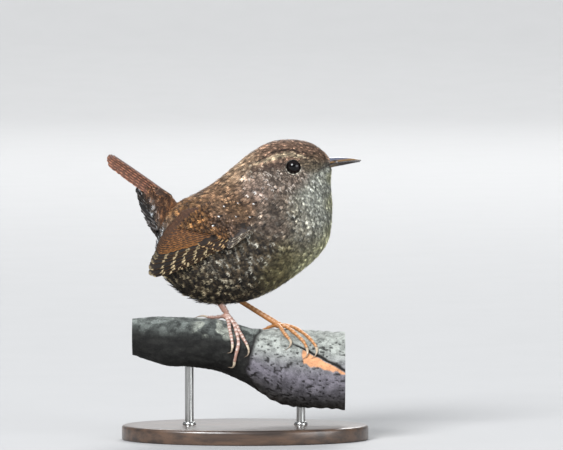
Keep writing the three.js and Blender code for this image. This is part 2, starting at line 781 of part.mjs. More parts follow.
// The feathered thigh, which shows only as a short cone under the belly.
function thighShape({ ankle, heel }, reach, grow = 0) {
  const along = difference(ankle, heel).normalize();
  const start = sum(heel, scaled(along, -1));
  const end = sum(heel, scaled(along, reach + grow));
  const line = [start, start.clone().lerp(end, 0.5), end];
  return solid(tube(line, (t) => 2.4 - 1.1 * t + grow, { steps: 5, sides: 12 }));
}
const THIGH_REACH = { right: 13.8, left: 3.6 }; // from the heel joint to the last thigh feathers

// Stand

// The oval base. Its odd number of sides keeps the middle of its underside inside one flat facet.
function baseSolid() {
  const SIDES_ROUND = 45;
  const { length, width, height, bevel } = BASE;
  const oval = (z, inset) => {
    const ring = [];
    for (let k = 0; k < SIDES_ROUND; k += 1) {
      const angle = (2 * Math.PI * k) / SIDES_ROUND;
      const x = (length / 2 - inset) * Math.cos(angle);
      const y = (width / 2 - inset) * Math.sin(angle);
      ring.push(new THREE.Vector3(x, y, z));
    }
    return ring;
  };
  const rings = [oval(0, bevel / 2), oval(bevel / 2, 0), oval(height - bevel, 0), oval(height, bevel)];
  return solid(loft(rings));
}

function rodSolid(x, clearBranch) {
  const foot = BASE.height + GAP;
  const top = atX(branchLine, x).z;
  const rod = new THREE.CylinderGeometry(ROD.radius, ROD.radius, top - foot, 20);
  rod.rotateX(Math.PI / 2);
  rod.translate(x, 0, (foot + top) / 2);
  return largest(solid(rod).subtract(clearBranch));
}

// Colours

const look = (color, roughness, metalness = 0) => {
  return new THREE.MeshStandardMaterial({ color, roughness, metalness });
};
const LOOKS = {
  brown: look(0x7a5c43, 0.9),
  breast: look(0xa89d80, 0.9),
  wing: look(0x6e4a2f, 0.85),
  tail: look(0x7d4e38, 0.85),
  horn: look(0x4a3f38, 0.4),
  eye: look(0x0a0706, 0.05),
  leg: look(0x9a6a48, 0.6),
  claw: look(0x8f8270, 0.45),
  bark: look(0x6d6a64, 0.95),
  base: look(0x2b2723, 0.5),
  rod: look(0x9a9a9a, 0.3, 1),
};

const wren = new THREE.Group();

function add(name, geometry, material) {
  const mesh = new THREE.Mesh(geometry, material);
  mesh.name = name;
  wren.add(mesh);
}

const clearTorso = torsoSolid(GAP);
const clearBranch = branchSolid(GAP);

add("torso", geometryOf(torsoSolid()), LOOKS.breast);
add("neck", geometryOf(solid(bodyLength(NECK_STATION, HEAD_STATION, 4, { sides: 26 }))), LOOKS.brown);
add("head", geometryOf(headSolid()), LOOKS.brown);
const nostrils = SIDES.map(([, side]) => nostril(side));
add("bill_upper", geometryOf(largest(cut(upperBill(), nostrils))), LOOKS.horn);
add("bill_lower", geometryOf(lowerBill()), LOOKS.horn);
add("tail", geometryOf(largest(tailSolid().subtract(clearTorso))), LOOKS.tail);
add("perch_branch", geometryOf(branchSolid()), LOOKS.bark);
add("stand_base", geometryOf(baseSolid()), LOOKS.base);
ROD.xs.forEach((x, i) => add(`stand_rod_${i + 1}`, geometryOf(rodSolid(x, clearBranch)), LOOKS.rod));

for (const [name, side] of SIDES) {
  const foot = FEET[name];
  add(`eye_${name}`, geometryOf(solid(eyeBall(side, EYE.radius, 16))), LOOKS.eye);
  add(`wing_${name}`, geometryOf(wingSolid(side, clearTorso)), LOOKS.wing);
  const thigh = largest(thighShape(foot, THIGH_REACH[name]).subtract(clearTorso));
  add(`thigh_${name}`, geometryOf(thigh), LOOKS.breast);
  const clearThigh = thighShape(foot, THIGH_REACH[name], GAP);
  add(`leg_${name}`, geometryOf(largest(cut(legShape(foot), [clearTorso, clearThigh]))), LOOKS.leg);
  add(`foot_${name}`, geometryOf(footSolid(foot, clearBranch)), LOOKS.leg);
  for (const [toeName, toe] of Object.entries(foot.toes)) {
    add(`claw_${name}_${toeName}`, geometryOf(clawSolid(toe)), LOOKS.claw);
  }
}

export default wren;
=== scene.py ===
"""A life-size winter wren on a cut length of branch, held over an oval base by two rods.

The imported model's frame is kept: metres, +Z up, the bird facing +X with its right side towards -Y.
The tables and functions below work in millimetres, and mesh_piece turns them into metres.
"""

import math

import bpy
import numpy as np
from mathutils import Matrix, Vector
from mathutils.kdtree import KDTree


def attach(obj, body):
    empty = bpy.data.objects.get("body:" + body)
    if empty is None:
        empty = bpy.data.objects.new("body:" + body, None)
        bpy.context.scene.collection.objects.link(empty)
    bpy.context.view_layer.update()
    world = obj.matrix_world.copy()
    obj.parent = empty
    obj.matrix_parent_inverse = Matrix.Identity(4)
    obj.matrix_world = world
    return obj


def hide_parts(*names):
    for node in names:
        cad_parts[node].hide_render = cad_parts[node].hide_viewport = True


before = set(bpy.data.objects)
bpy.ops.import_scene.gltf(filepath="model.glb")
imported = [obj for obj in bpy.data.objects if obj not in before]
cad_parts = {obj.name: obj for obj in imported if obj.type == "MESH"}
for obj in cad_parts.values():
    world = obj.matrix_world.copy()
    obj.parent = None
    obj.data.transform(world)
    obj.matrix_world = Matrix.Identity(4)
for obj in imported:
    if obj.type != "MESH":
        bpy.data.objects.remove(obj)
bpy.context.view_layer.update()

MM = 0.001
SIDES = {"right": -1, "left": 1}
TURN = 2 * np.pi
rng = np.random.default_rng(7)


# Numbers


def smooth(low, high, x):
    """Rises from nothing at low to one at high, or falls where low is the larger."""
    t = np.clip((x - low) / (high - low), 0, 1)
    return t * t * (3 - 2 * t)


def mixed(a, b, share):
    """A mix of two colours for each share."""
    return a + (b - a) * np.asarray(share)[..., None]


def unit(v):
    return v / np.maximum(np.linalg.norm(v, axis=-1, keepdims=True), 1e-9)


def linear(r, g, b):
    """A colour given as 0 to 255 on screen, as light."""
    c = np.array([r, g, b]) / 255
    return np.where(c > 0.04045, ((c + 0.055) / 1.055) ** 2.4, c / 12.92)


def plain_tint(ink, *shape):
    """One colour for each point of a grid."""
    return np.broadcast_to(linear(*ink), (*shape, 3))


def curve(points, t, power=0.25, clamped=False):
    """A Catmull-Rom curve at shares t of its points. Power is 0.25 for centripetal and 0 for uniform."""
    p = np.asarray(points, float)
    before, after = (p[0], p[-1]) if clamped else (2 * p[0] - p[1], 2 * p[-1] - p[-2])
    p = np.vstack([before, p, after])
    place = np.clip(np.asarray(t, float), 0, 1) * (len(p) - 3)
    i = np.minimum(place.astype(int), len(p) - 4)
    w = (place - i)[..., None]
    p0, p1, p2, p3 = (p[i + k] for k in range(4))

    def gap(a, b):
        return np.maximum(((b - a) ** 2).sum(-1, keepdims=True), 1e-12) ** power

    d0, d1, d2 = gap(p0, p1), gap(p1, p2), gap(p2, p3)
    d0, d2 = np.where(d0 < 1e-4, d1, d0), np.where(d2 < 1e-4, d1, d2)
    m1 = ((p1 - p0) / d0 - (p2 - p0) / (d0 + d1) + (p2 - p1) / d1) * d1
    m2 = ((p2 - p1) / d1 - (p3 - p1) / (d1 + d2) + (p3 - p2) / d2) * d1
    return p1 + m1 * w + (3 * (p2 - p1) - 2 * m1 - m2) * w**2 + (2 * (p1 - p2) + m1 + m2) * w**3


CELLS = 24
LATTICE = rng.random((CELLS, CELLS, CELLS))


def noise(p, size, seed=0):
    """Smooth noise from 0 to 1 over points in millimetres, with features about as large as size."""
    q = np.asarray(p, float) / size + 3.7 * seed
    i = np.floor(q).astype(int)
    f = q - i
    f = f * f * (3 - 2 * f)
    total = 0
    for corner in range(8):
        c = np.array([corner & 1, corner >> 1 & 1, corner >> 2])
        weight = np.prod(np.where(c, f, 1 - f), axis=-1)
        total = total + weight * LATTICE[tuple(np.moveaxis((i + c) % CELLS, -1, 0))]
    return total


def round_turn(count):
    """Even angles once round."""
    return np.linspace(0, TURN, count + 1)[:-1]


def mesh_of(*axes):
    """Each axis's values over the whole grid, rows first."""
    return np.meshgrid(*axes, indexing="ij")


def bilinear(table, row, column):
    """A table's value between its rows and columns."""
    i, k = row.astype(int), column.astype(int)
    down, along = row - i, column - k
    if table.ndim == 3:
        down, along = down[..., None], along[..., None]
    near = table[i, k] * (1 - along) + table[i, k + 1] * along
    far = table[i + 1, k] * (1 - along) + table[i + 1, k + 1] * along
    return near * (1 - down) + far * down


# Meshes


def put_in_scene(name, data):
    """A new object of the scene, with the given mesh, light or camera."""
    made = bpy.data.objects.new(name, data)
    bpy.context.scene.collection.objects.link(made)
    return made


def mesh_piece(name, points, faces, material, slot, stands_for=(), uv=None, **values):
    """Makes one mesh. Faces is a list of arrays, and values are numbers or vectors for each point."""
    mesh = bpy.data.meshes.new(name)
    points = np.asarray(points, float) * MM
    faces = [np.asarray(f, int) for f in faces]
    corners = np.concatenate([f.ravel() for f in faces])
    sizes = np.concatenate([np.full(len(f), f.shape[1]) for f in faces])
    mesh.vertices.add(len(points))
    mesh.vertices.foreach_set("co", points.ravel())
    mesh.loops.add(len(corners))
    mesh.loops.foreach_set("vertex_index", corners)
    mesh.polygons.add(len(sizes))
    mesh.polygons.foreach_set("loop_start", np.cumsum(sizes) - sizes)
    mesh.polygons.foreach_set("use_smooth", np.ones(len(sizes), bool))
    mesh.update(calc_edges=True)
    for key, value in values.items():
        value = np.asarray(value, float)
        if value.ndim == 1:
            mesh.attributes.new(key, "FLOAT", "POINT").data.foreach_set("value", value)
        else:
            mesh.attributes.new(key, "FLOAT_VECTOR", "POINT").data.foreach_set("vector", value.ravel())
    if uv is not None:
        layer = mesh.uv_layers.new(name="OFBake")
        layer.uv.foreach_set("vector", np.asarray(uv, float)[corners].ravel())
    mesh.materials.append(material)
    piece = put_in_scene(name, mesh)
    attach(piece, "root")
    if stands_for:
        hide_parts(*stands_for)
    return piece


def grid_faces(rows, columns, closed=False):
    """The four-sided faces of a grid of points, joined round its columns if it is closed."""
    i, k = mesh_of(np.arange(rows - 1), np.arange(columns if closed else columns - 1))
    a = i * columns + k
    b = i * columns + (k + 1) % columns
    return np.stack([a, b, b + columns, a + columns], -1).reshape(-1, 4)


class Shape:
    """Points, faces and values of several forms that are joined into one mesh."""

    def __init__(self):
        self.points, self.faces, self.values, self.count = [], [], {}, 0

    def add(self, points, faces, **values):
        points = np.asarray(points, float).reshape(-1, 3)
        self.points.append(points)
        self.faces += [np.asarray(f) + self.count for f in faces]
        for key, value in values.items():
            value = np.asarray(value, float)
            if value.ndim == 0 or (value.ndim == 1 and len(value) != len(points)):
                value = np.broadcast_to(value, (len(points), *value.shape))
            self.values.setdefault(key, []).append(value.reshape(len(points), *value.shape[1:]))
        self.count += len(points)

    def add_tube(self, rings, tint=None, **values):
        """Adds a tube with closed ends, and a tint whose end points are like the first and last."""
        points, faces = capped(rings)
        if tint is not None:
            values["tint"] = tint if tint.ndim == 1 else np.concatenate([tint, tint[:1], tint[-1:]])
        self.add(points, faces, **values)

    def joined(self):
        return np.concatenate(self.points), {key: np.concatenate(v) for key, v in self.values.items()}

    def piece(self, name, material, slot, stands_for=()):
        points, values = self.joined()
        return mesh_piece(name, points, self.faces, material, slot, stands_for, **values)


def tube(points, radius, steps, sides, flat=1.0):
    """Rings along a smooth curve, at even steps of its length, with the share and angle of each point."""
    fine = curve(points, np.linspace(0, 1, 400))
    reach = np.concatenate([[0], np.cumsum(np.linalg.norm(np.diff(fine, axis=0), axis=1))])
    share = np.linspace(0, 1, steps + 1)
    centre = np.stack([np.interp(share * reach[-1], reach, fine[:, k]) for k in range(3)], -1)
    ahead = unit(np.gradient(centre, axis=0))
    over = unit(np.cross(ahead, np.cross([0, 0.15, 1.0], ahead)))
    aside = np.cross(ahead, over)
    angle = round_turn(sides)
    size = radius(share[:, None], angle[None, :]) * np.ones((steps + 1, sides))
    cosine, sine = np.cos(angle)[None, :, None], np.sin(angle)[None, :, None]
    offset = over[:, None] * cosine + aside[:, None] * sine
    offset[..., 1] *= flat
    return centre[:, None] + offset * size[..., None], share, angle


def capped(rings):
    """A closed tube's points and outward faces, with a point added at each end's middle."""
    rows, columns = rings.shape[:2]
    points = np.concatenate([rings.reshape(-1, 3), [rings[0].mean(0), rings[-1].mean(0)]])
    k = np.arange(columns)
    nxt = (k + 1) % columns
    first, last = rows * columns, rows * columns + 1
    tail = (rows - 1) * columns
    ends = np.concatenate([
        np.stack([nxt, k, np.full(columns, first)], -1),
        np.stack([tail + k, tail + nxt, np.full(columns, last)], -1),
    ])
    return points, outward(rings, [grid_faces(rows, columns, closed=True), ends])


def outward(rings, faces):
    """Turns faces of a tube round if they point inwards."""
    points = rings.reshape(-1, 3)
    f = faces[0]
    middle = rings.mean(1).repeat(rings.shape[1], 0)
    normal = np.cross(points[f[:, 1]] - points[f[:, 0]], points[f[:, 2]] - points[f[:, 0]])
    if (normal * (points[f[:, 0]] - middle[f[:, 0]])).sum() < 0:
        return [g[:, ::-1] for g in faces]
    return faces


# Materials


class Look:
    """A material whose nodes are written as one expression."""

    def __init__(self, name, **shader):
        self.material = bpy.data.materials.new(name)
        self.material.use_nodes = True
        self.tree = self.material.node_tree
        self.shader = self.tree.nodes["Principled BSDF"]
        for key, value in shader.items():
            self.shader.inputs[key.replace("_", " ").title().replace("Ior", "IOR")].default_value = value

    def put(self, socket, value):
        if isinstance(value, bpy.types.NodeSocket):
            self.tree.links.new(value, socket)
        elif isinstance(value, (tuple, list, np.ndarray)) and len(socket.default_value) == 4:
            socket.default_value = (*value, 1)[:4]
        else:
            socket.default_value = value

    def node(self, kind, *values, out=0, **settings):
        made = self.tree.nodes.new("ShaderNode" + kind)
        for key, value in settings.items():
            setattr(made, key, value)
        for socket, value in zip(made.inputs, values):
            if value is not None:
                self.put(socket, value)
        return made.outputs[out]

    def value(self, name, part=None):
        """A value stored on the mesh, or one part of it."""
        whole = self.node("Attribute", attribute_name=name, out=1 if part is not None else 0)
        return whole if part is None else self.node("SeparateXYZ", whole, out=part)

    def number(self, name):
        return self.node("Attribute", attribute_name=name, out=2)

    def math(self, operation, a, b=None):
        return self.node("Math", a, b, operation=operation)

    def times(self, a, b):
        return self.math("MULTIPLY", a, b)

    def plus(self, a, b):
        return self.math("ADD", a, b)

    def minus(self, a, b):
        return self.math("SUBTRACT", a, b)

    def mix(self, share, a, b, kind="MIX"):
        made = self.tree.nodes.new("ShaderNodeMix")
        made.data_type = "RGBA"
        made.blend_type = kind
        for socket, value in zip((made.inputs[0], made.inputs[6], made.inputs[7]), (share, a, b)):
            self.put(socket, value)
        return made.outputs[2]

    def band(self, x, low, high, to_low=0.0, to_high=1.0):
        return self.node("MapRange", x, low, high, to_low, to_high, interpolation_type="SMOOTHSTEP")

    def noise(self, place, scale, detail=3.0):
        return self.node("TexNoise", place, None, scale, detail)

    def place(self, stretch=(1, 1, 1)):
        """The object's own coordinates in metres, stretched along each axis."""
        here = self.node("TexCoord", out=3)
        return self.node("Mapping", here, None, None, stretch)

    def finish(self, colour, height=None, strength=0.3, distance=0.0001, roughness=None):
        self.put(self.shader.inputs["Base Color"], colour)
        if roughness is not None:
            self.put(self.shader.inputs["Roughness"], roughness)
        if height is not None:
            bump = self.node("Bump", strength, distance)
            bump.node.inputs["Height"].default_value = 0
            self.put(bump.node.inputs["Height"], height)
            self.tree.links.new(bump, self.shader.inputs["Normal"])
        return self.material


def plumage_look(name, roughness=0.7):
    """Small body feathers and skin. The colour is stored on the mesh, with fine flecks added."""
    look = Look(name, roughness=roughness, specular_ior_level=0.3)
    here = look.place()
    fleck = look.noise(here, 3000.0, 2.0)
    colour = look.mix(1.0, look.value("tint"), look.band(fleck, 0.35, 0.65, 0.8, 1.15), "MULTIPLY")
    fine = look.noise(here, 9000.0, 1.0)
    return look.finish(colour, fine, 0.3, 0.00005)


def vane_look(name):
    """Wing and tail feathers: bars, pale spots, a shaft and fine barbs that slant towards the tip, and
    painted shade over the part of the vane that the next feather covers.
    """
    look = Look(name, roughness=0.6, specular_ior_level=0.3)
    t, across, seed = (look.value("fst", k) for k in range(3))
    bars, strength, spots = (look.value("pat", k) for k in range(3))
    wide = look.math("ABSOLUTE", across)
    wobble = look.noise(look.place(), 1100.0, 3.0)
    phase = look.plus(look.times(t, bars), look.times(wobble, 0.8))
    phase = look.plus(look.minus(phase, look.times(wide, 0.25)), seed)
    wave = look.math("PINGPONG", phase, 0.5)
    dark = look.times(look.band(wave, 0.2, 0.3), strength)
    pale = look.times(look.band(wave, 0.13, 0.07), look.band(across, -0.58, -0.68))
    pale = look.times(look.math("MAXIMUM", pale, look.band(t, 0.95, 0.98, 0.0, 0.45)), spots)
    barbs = look.minus(look.times(t, 60.0), look.times(wide, 16.0))
    ridge = look.math("SINE", look.times(barbs, 6.283))
    # Painted shade: away from the edge that shows, the vane is darkened nearly to its mark colour, as the
    # shadow of the next feather that lies over it.
    colour = look.mix(look.band(across, -0.96, -0.82, 0.0, 0.92), look.value("tint"), look.value("mark"))
    colour = look.mix(dark, colour, look.value("mark"))
    colour = look.mix(pale, colour, look.value("glow"))
    shade = look.plus(look.band(ridge, -1.0, 1.0, 0.8, 1.05), look.band(wobble, 0.3, 0.7, -0.2, 0.2))
    colour = look.mix(1.0, colour, shade, "MULTIPLY")
    colour = look.mix(look.band(wide, 0.08, 0.04, 0.0, 0.45), colour, look.value("mark"))
    return look.finish(colour, look.band(ridge, -1.0, 1.0), 0.5, 0.00005)


def eye_look():
    look = Look("eye_dark", roughness=0.06, specular_ior_level=0.3)
    grain = look.noise(look.place(), 2500.0)
    iris = look.mix(grain, linear(8, 6, 6), linear(20, 14, 12))
    ring = look.number("iris")
    return look.finish(look.mix(ring, (0.0012, 0.001, 0.0012), iris))


def bill_look():
    look = Look("bill_horn", roughness=0.24, specular_ior_level=0.6)
    grain = look.noise(look.place((1, 3, 3)), 900.0)
    colour = look.mix(look.band(grain, 0.35, 0.7, 0.0, 0.35), look.value("tint"), linear(40, 32, 30))
    streak = look.noise(look.place((0.25, 4, 4)), 2500.0)
    return look.finish(colour, streak, 0.12, 0.00005, look.band(grain, 0.2, 0.8, 0.2, 0.34))


def scaly_look(name, roughness, wear):
    look = Look(name, roughness=roughness, specular_ior_level=0.5)
    grain = look.noise(look.place(), 3200.0)
    colour = look.mix(look.band(grain, 0.3, 0.7, 0.0, wear), look.value("tint"), linear(96, 66, 52))
    return look.finish(colour, grain, 0.3, 0.00006)


def bark_look():
    look = Look("bark_dark", roughness=0.85, specular_ior_level=0.3)
    here = look.place()
    blotch = look.noise(here, 420.0, 5.0)
    fine = look.noise(here, 2600.0, 4.0)
    colour = look.mix(look.band(blotch, 0.38, 0.66), look.value("tint"), look.value("mark"))
    colour = look.mix(look.band(fine, 0.55, 0.72, 0.0, 0.6), colour, look.value("glow"))
    colour = look.mix(look.band(fine, 0.42, 0.28, 0.0, 0.55), colour, linear(34, 32, 30))
    return look.finish(colour, fine, 0.9, 0.0003)


def base_look():
    look = Look("stand_base_wood", roughness=0.35, coat_weight=0.4, coat_roughness=0.2)
    grain = look.noise(look.place((0.12, 1, 1)), 420.0, 5.0)
    pores = look.noise(look.place((0.06, 1, 1)), 2600.0, 2.0)
    colour = look.mix(look.band(grain, 0.3, 0.7), linear(46, 36, 30), linear(84, 64, 50))
    colour = look.mix(look.band(pores, 0.6, 0.75, 0.0, 0.6), colour, linear(28, 22, 19))
    return look.finish(colour, pores, 0.2, 0.0001, look.band(pores, 0.4, 0.8, 0.3, 0.45))


def rod_look():
    look = Look("stand_rod_steel", metallic=1.0, roughness=0.3)
    brushed = look.noise(look.place((1, 1, 0.03)), 5200.0, 2.0)
    colour = look.mix(brushed, linear(150, 150, 148), linear(190, 190, 188))
    return look.finish(colour, brushed, 0.15, 0.00003, look.band(brushed, 0.3, 0.7, 0.22, 0.4))


# Body surface

BODY = [
    # back x, back z, belly x, belly z, half width, how much wider the belly side is
    (-26.9, 76.8, -28.9, 71.1, 2.6, 0),
    (-25.8, 78.4, -29.9, 64.6, 5.4, 0),
    (-23.8, 80.1, -27.2, 55.8, 9.0, 0.04),
    (-20.7, 81.9, -16.7, 47.9, 12.6, 0.06),
    (-16.0, 84.3, 1.0, 47.4, 14.9, 0.08),
    (-9.5, 88.4, 18.7, 57.1, 15.2, 0.1),
    (-3.1, 93.7, 27.9, 67.0, 13.3, 0.14),
    (2.4, 98.1, 29.6, 78.5, 10.2, 0.14),
    (8.5, 101.3, 29.2, 86.0, 8.0, 0.06),
    (15.3, 102.2, 29.2, 89.9, 7.2, 0),
    (21.4, 101.3, 29.4, 91.8, 5.5, 0),
    (25.5, 99.1, 29.2, 92.5, 3.7, 0),
    (28.2, 96.2, 28.7, 93.0, 2.1, 0),
]
BODY_STATIONS = len(BODY) - 1
BODY_BACK = [(b[0], b[4], b[1]) for b in BODY]
BODY_BELLY = [(b[2], 10 * b[5], b[3]) for b in BODY]


def body_section(share):
    """The middle, the rise to the back, the half width and the pear shape of sections along the body."""
    back, belly = curve(BODY_BACK, share), curve(BODY_BELLY, share)
    half, pear = back[..., 1].copy(), belly[..., 1] / 10
    back[..., 1] = 0
    belly[..., 1] = 0
    return (back + belly) / 2, (back - belly) / 2, half, pear


def body_points(share, angle):
    """Points of the body's surface. Angle runs round from the back towards the left side."""
    middle, rise, half, pear = body_section(share)
    point = middle + rise * np.cos(angle)[..., None]
    point[..., 1] += half * np.sin(angle) * (1 - pear * np.cos(angle))
    return point


class Surface:
    """A sheet of points for feathers to lie on. They run along its falling rows."""

    def __init__(self, points, high, wraps=False):
        self.points, self.high, self.wraps = points, np.array(high, float), wraps
        rows, columns = points.shape[:2]
        self.size = np.array([rows - 1, columns - 1])
        step = self.high / self.size
        self.along = np.gradient(points, axis=0) / step[0]
        self.around = np.gradient(points, axis=1) / step[1]
        if wraps:
            turned = (points[:, 1] - points[:, -2]) / (2 * step[1])
            self.around[:, 0] = turned
            self.around[:, -1] = turned
        self.normal = unit(np.cross(self.around, self.along))
        self.stretch = np.stack([np.linalg.norm(way, axis=-1) for way in (self.along, self.around)], -1)

    def facing_away(self, inner):
        """The surface, with its normals turned away from inner points."""
        if ((self.points - inner) * self.normal).sum() < 0:
            self.normal = -self.normal
        return self

    def _at(self, table, u, v):
        q = np.clip(np.stack([u, v], -1) / self.high * self.size, 0, self.size - 1e-6)
        return bilinear(table, q[..., 0], q[..., 1])

    def _turn(self, v):
        return np.mod(v, self.high[1]) if self.wraps else v

    def metric(self, u, v):
        m = self._at(self.stretch, u, self._turn(v))
        return np.maximum(m[..., 0], 0.4), np.maximum(m[..., 1], 0.4)

    def at(self, u, v):
        """The point and normal at u, v. Past the first and last row it goes straight on."""
        v = self._turn(v)
        inside = np.clip(u, 0, self.high[0])
        beyond = self._at(self.along, inside, v) * (u - inside)[..., None]
        return self._at(self.points, inside, v) + beyond, unit(self._at(self.normal, inside, v))


BODY_SHARES = np.linspace(0, 1, 481)
body_grid = body_points(*mesh_of(BODY_SHARES, np.linspace(0, TURN, 361)))
body = Surface(body_grid, (BODY_STATIONS, TURN), wraps=True)
body.facing_away(body_section(BODY_SHARES)[0][:, None])


# Markings
# Places are in the side view, across and down, in steps of MARK_STEP millimetres.

MARK_STEP, MARK_MIDDLE, MARK_FLOOR = 0.34, 245, 440

PALETTES = {
    # base, dark, pale, then how strong bars, pale tips and dark shaft streaks are
    "crown": ((145, 115, 95), (65, 50, 40), (220, 190, 160), 0.35, 0.35, 0.75),
    "nape": ((185, 155, 125), (85, 70, 55), (255, 250, 215), 0.35, 0.5, 0.7),
    "neck_side": ((145, 125, 112), (68, 56, 46), (245, 244, 240), 0.4, 0.75, 0.6),
    "lore": ((94, 84, 66), (27, 23, 19), (150, 140, 120), 0.6, 0.6, 0.5),
    "cheek": ((118, 104, 92), (32, 25, 22), (205, 194, 182), 0.8, 0.8, 0.4),
    "throat": ((156, 158, 148), (110, 107, 95), (200, 203, 200), 0.3, 0.5, 0.5),
    "olive": ((184, 183, 146), (130, 124, 90), (228, 230, 200), 0.3, 0.4, 0.5),
    "breast": ((132, 128, 114), (76, 67, 55), (184, 184, 180), 0.5, 0.55, 0.6),
    "breast_side": ((110, 96, 84), (52, 41, 33), (175, 168, 155), 0.6, 0.55, 0.65),
    "mantle": ((138, 107, 80), (50, 36, 28), (216, 182, 145), 0.6, 0.4, 0.7),
    "rump": ((135, 97, 60), (42, 29, 19), (200, 158, 104), 0.8, 0.35, 0.4),
    "flank": ((86, 74, 57), (18, 15, 12), (182, 179, 166), 0.9, 0.75, 0.3),
    "vent": ((64, 53, 39), (12, 10, 8), (190, 174, 140), 0.9, 0.8, 0.3),
    "belly": ((113, 105, 73), (52, 45, 29), (165, 160, 122), 0.7, 0.45, 0.5),
    "under_tail": ((104, 96, 88), (12, 11, 12), (226, 234, 240), 0.9, 0.8, 0.3),
    "tail_root": ((120, 80, 50), (36, 24, 18), (165, 131, 98), 0.8, 0.35, 0.4),
    "shoulder": ((83, 64, 52), (29, 20, 15), (134, 115, 102), 0.45, 0.45, 0.8),
    "scapular": ((140, 110, 80), (42, 31, 24), (202, 172, 138), 0.6, 0.4, 0.8),
    "covert": ((123, 85, 48), (24, 15, 10), (155, 123, 82), 0.9, 0.45, 0.4),
    "covert_grey": ((127, 102, 85), (36, 28, 24), (178, 157, 141), 0.8, 0.45, 0.5),
}
REGIONS = {
    # palette: places across and down, and reach
    "crown": [(283, 141, 17), (306, 149, 12), (262, 147, 17)],
    "nape": [(245, 158, 14), (230, 174, 13)],
    "neck_side": [(247, 186, 12), (262, 190, 10)],
    "mantle": [(232, 190, 8), (205, 196, 18), (222, 186, 15), (240, 208, 12), (220, 212, 12)],
    "lore": [(310, 160, 7), (314, 167, 6), (303, 164, 6)],
    "cheek": [(281, 180, 14), (300, 178, 9), (264, 178, 9), (252, 173, 7)],
    "throat": [(320, 185, 12), (314, 201, 14), (318, 222, 15)],
    "olive": [(334, 205, 8), (332, 232, 8), (322, 250, 11), (306, 268, 13), (331, 180, 5)],
    "breast": [(303, 238, 16), (296, 214, 14)],
    "breast_side": [(276, 204, 12), (266, 220, 14), (280, 228, 12)],
    "belly": [(288, 256, 14), (272, 280, 14)],
    "rump": [(188, 206, 14), (172, 214, 14)],
    "under_tail": [(165, 232, 11), (160, 240, 10)],
    "flank": [(240, 250, 16), (262, 246, 14), (218, 262, 16), (246, 272, 16)],
    "vent": [(196, 268, 12), (184, 262, 12), (204, 286, 14), (228, 294, 14), (250, 296, 12),
        (172, 250, 12)],
}
WING_REGIONS = {
    "covert": [(196, 212, 12), (180, 226, 14), (190, 234, 12), (203, 208, 9), (188, 222, 14),
        (204, 231, 11), (219, 233, 7)],
    "mantle": [(212, 204, 10)],
    "shoulder": [(256, 214, 12), (246, 226, 9)],
    "scapular": [(238, 206, 12), (222, 199, 12)],
    "covert_grey": [(232, 222, 9), (216, 216, 10)],
}
TAIL_REGIONS = {
    "tail_root": [(160, 188, 12), (172, 206, 12), (150, 180, 10), (164, 218, 8)],
    "under_tail": [(136, 190, 8), (141, 206, 8), (147, 221, 8), (156, 236, 9)],
}


def palette_table(regions):
    rows = []
    for name, places in regions.items():
        *inks, bars, tips, streaks = PALETTES[name]
        look = np.concatenate([*(linear(*ink) for ink in inks), (bars, tips, streaks)])
        rows += [np.concatenate([place, look]) for place in places]
    return np.array(rows)


BODY_MARKS, WING_MARKS, TAIL_MARKS = (palette_table(r) for r in (REGIONS, WING_REGIONS, TAIL_REGIONS))
# Each line on the head is places across, places down and half widths.
BROW_LINE = (
    [248, 262, 269, 280, 292, 304, 311, 318], [166, 158, 154.3, 150.8, 149.4, 152.6, 158, 164],
    [1, 1.2, 1.3, 1.3, 1.3, 1.3, 1.2, 1],
)
SUPERCILIUM = (
    [254, 262, 270, 280, 290, 298, 304], [163.8, 161.6, 159.3, 155.6, 154, 155.4, 158.5],
    [1.3, 2, 2.2, 2.5, 2.2, 1.9, 1],
)
EYE_STRIPE = ([248, 257, 270, 284, 289], [171, 169, 167, 165.3, 165.3], [1.6, 2.8, 3.1, 2.5, 1.5])
EYE_PLACE = (293.5, 165.9)


def line_mask(line, x, y):
    """How much a place lies on a line of the head."""
    xs, ys, halves = line
    half = np.interp(x, xs, halves)
    ends = smooth(xs[0] - 3, xs[0] + 3, x) * smooth(xs[-1] + 3, xs[-1] - 3, x)
    return smooth(1.25, 0.6, np.abs(y - np.interp(x, xs, ys)) / half) * ends


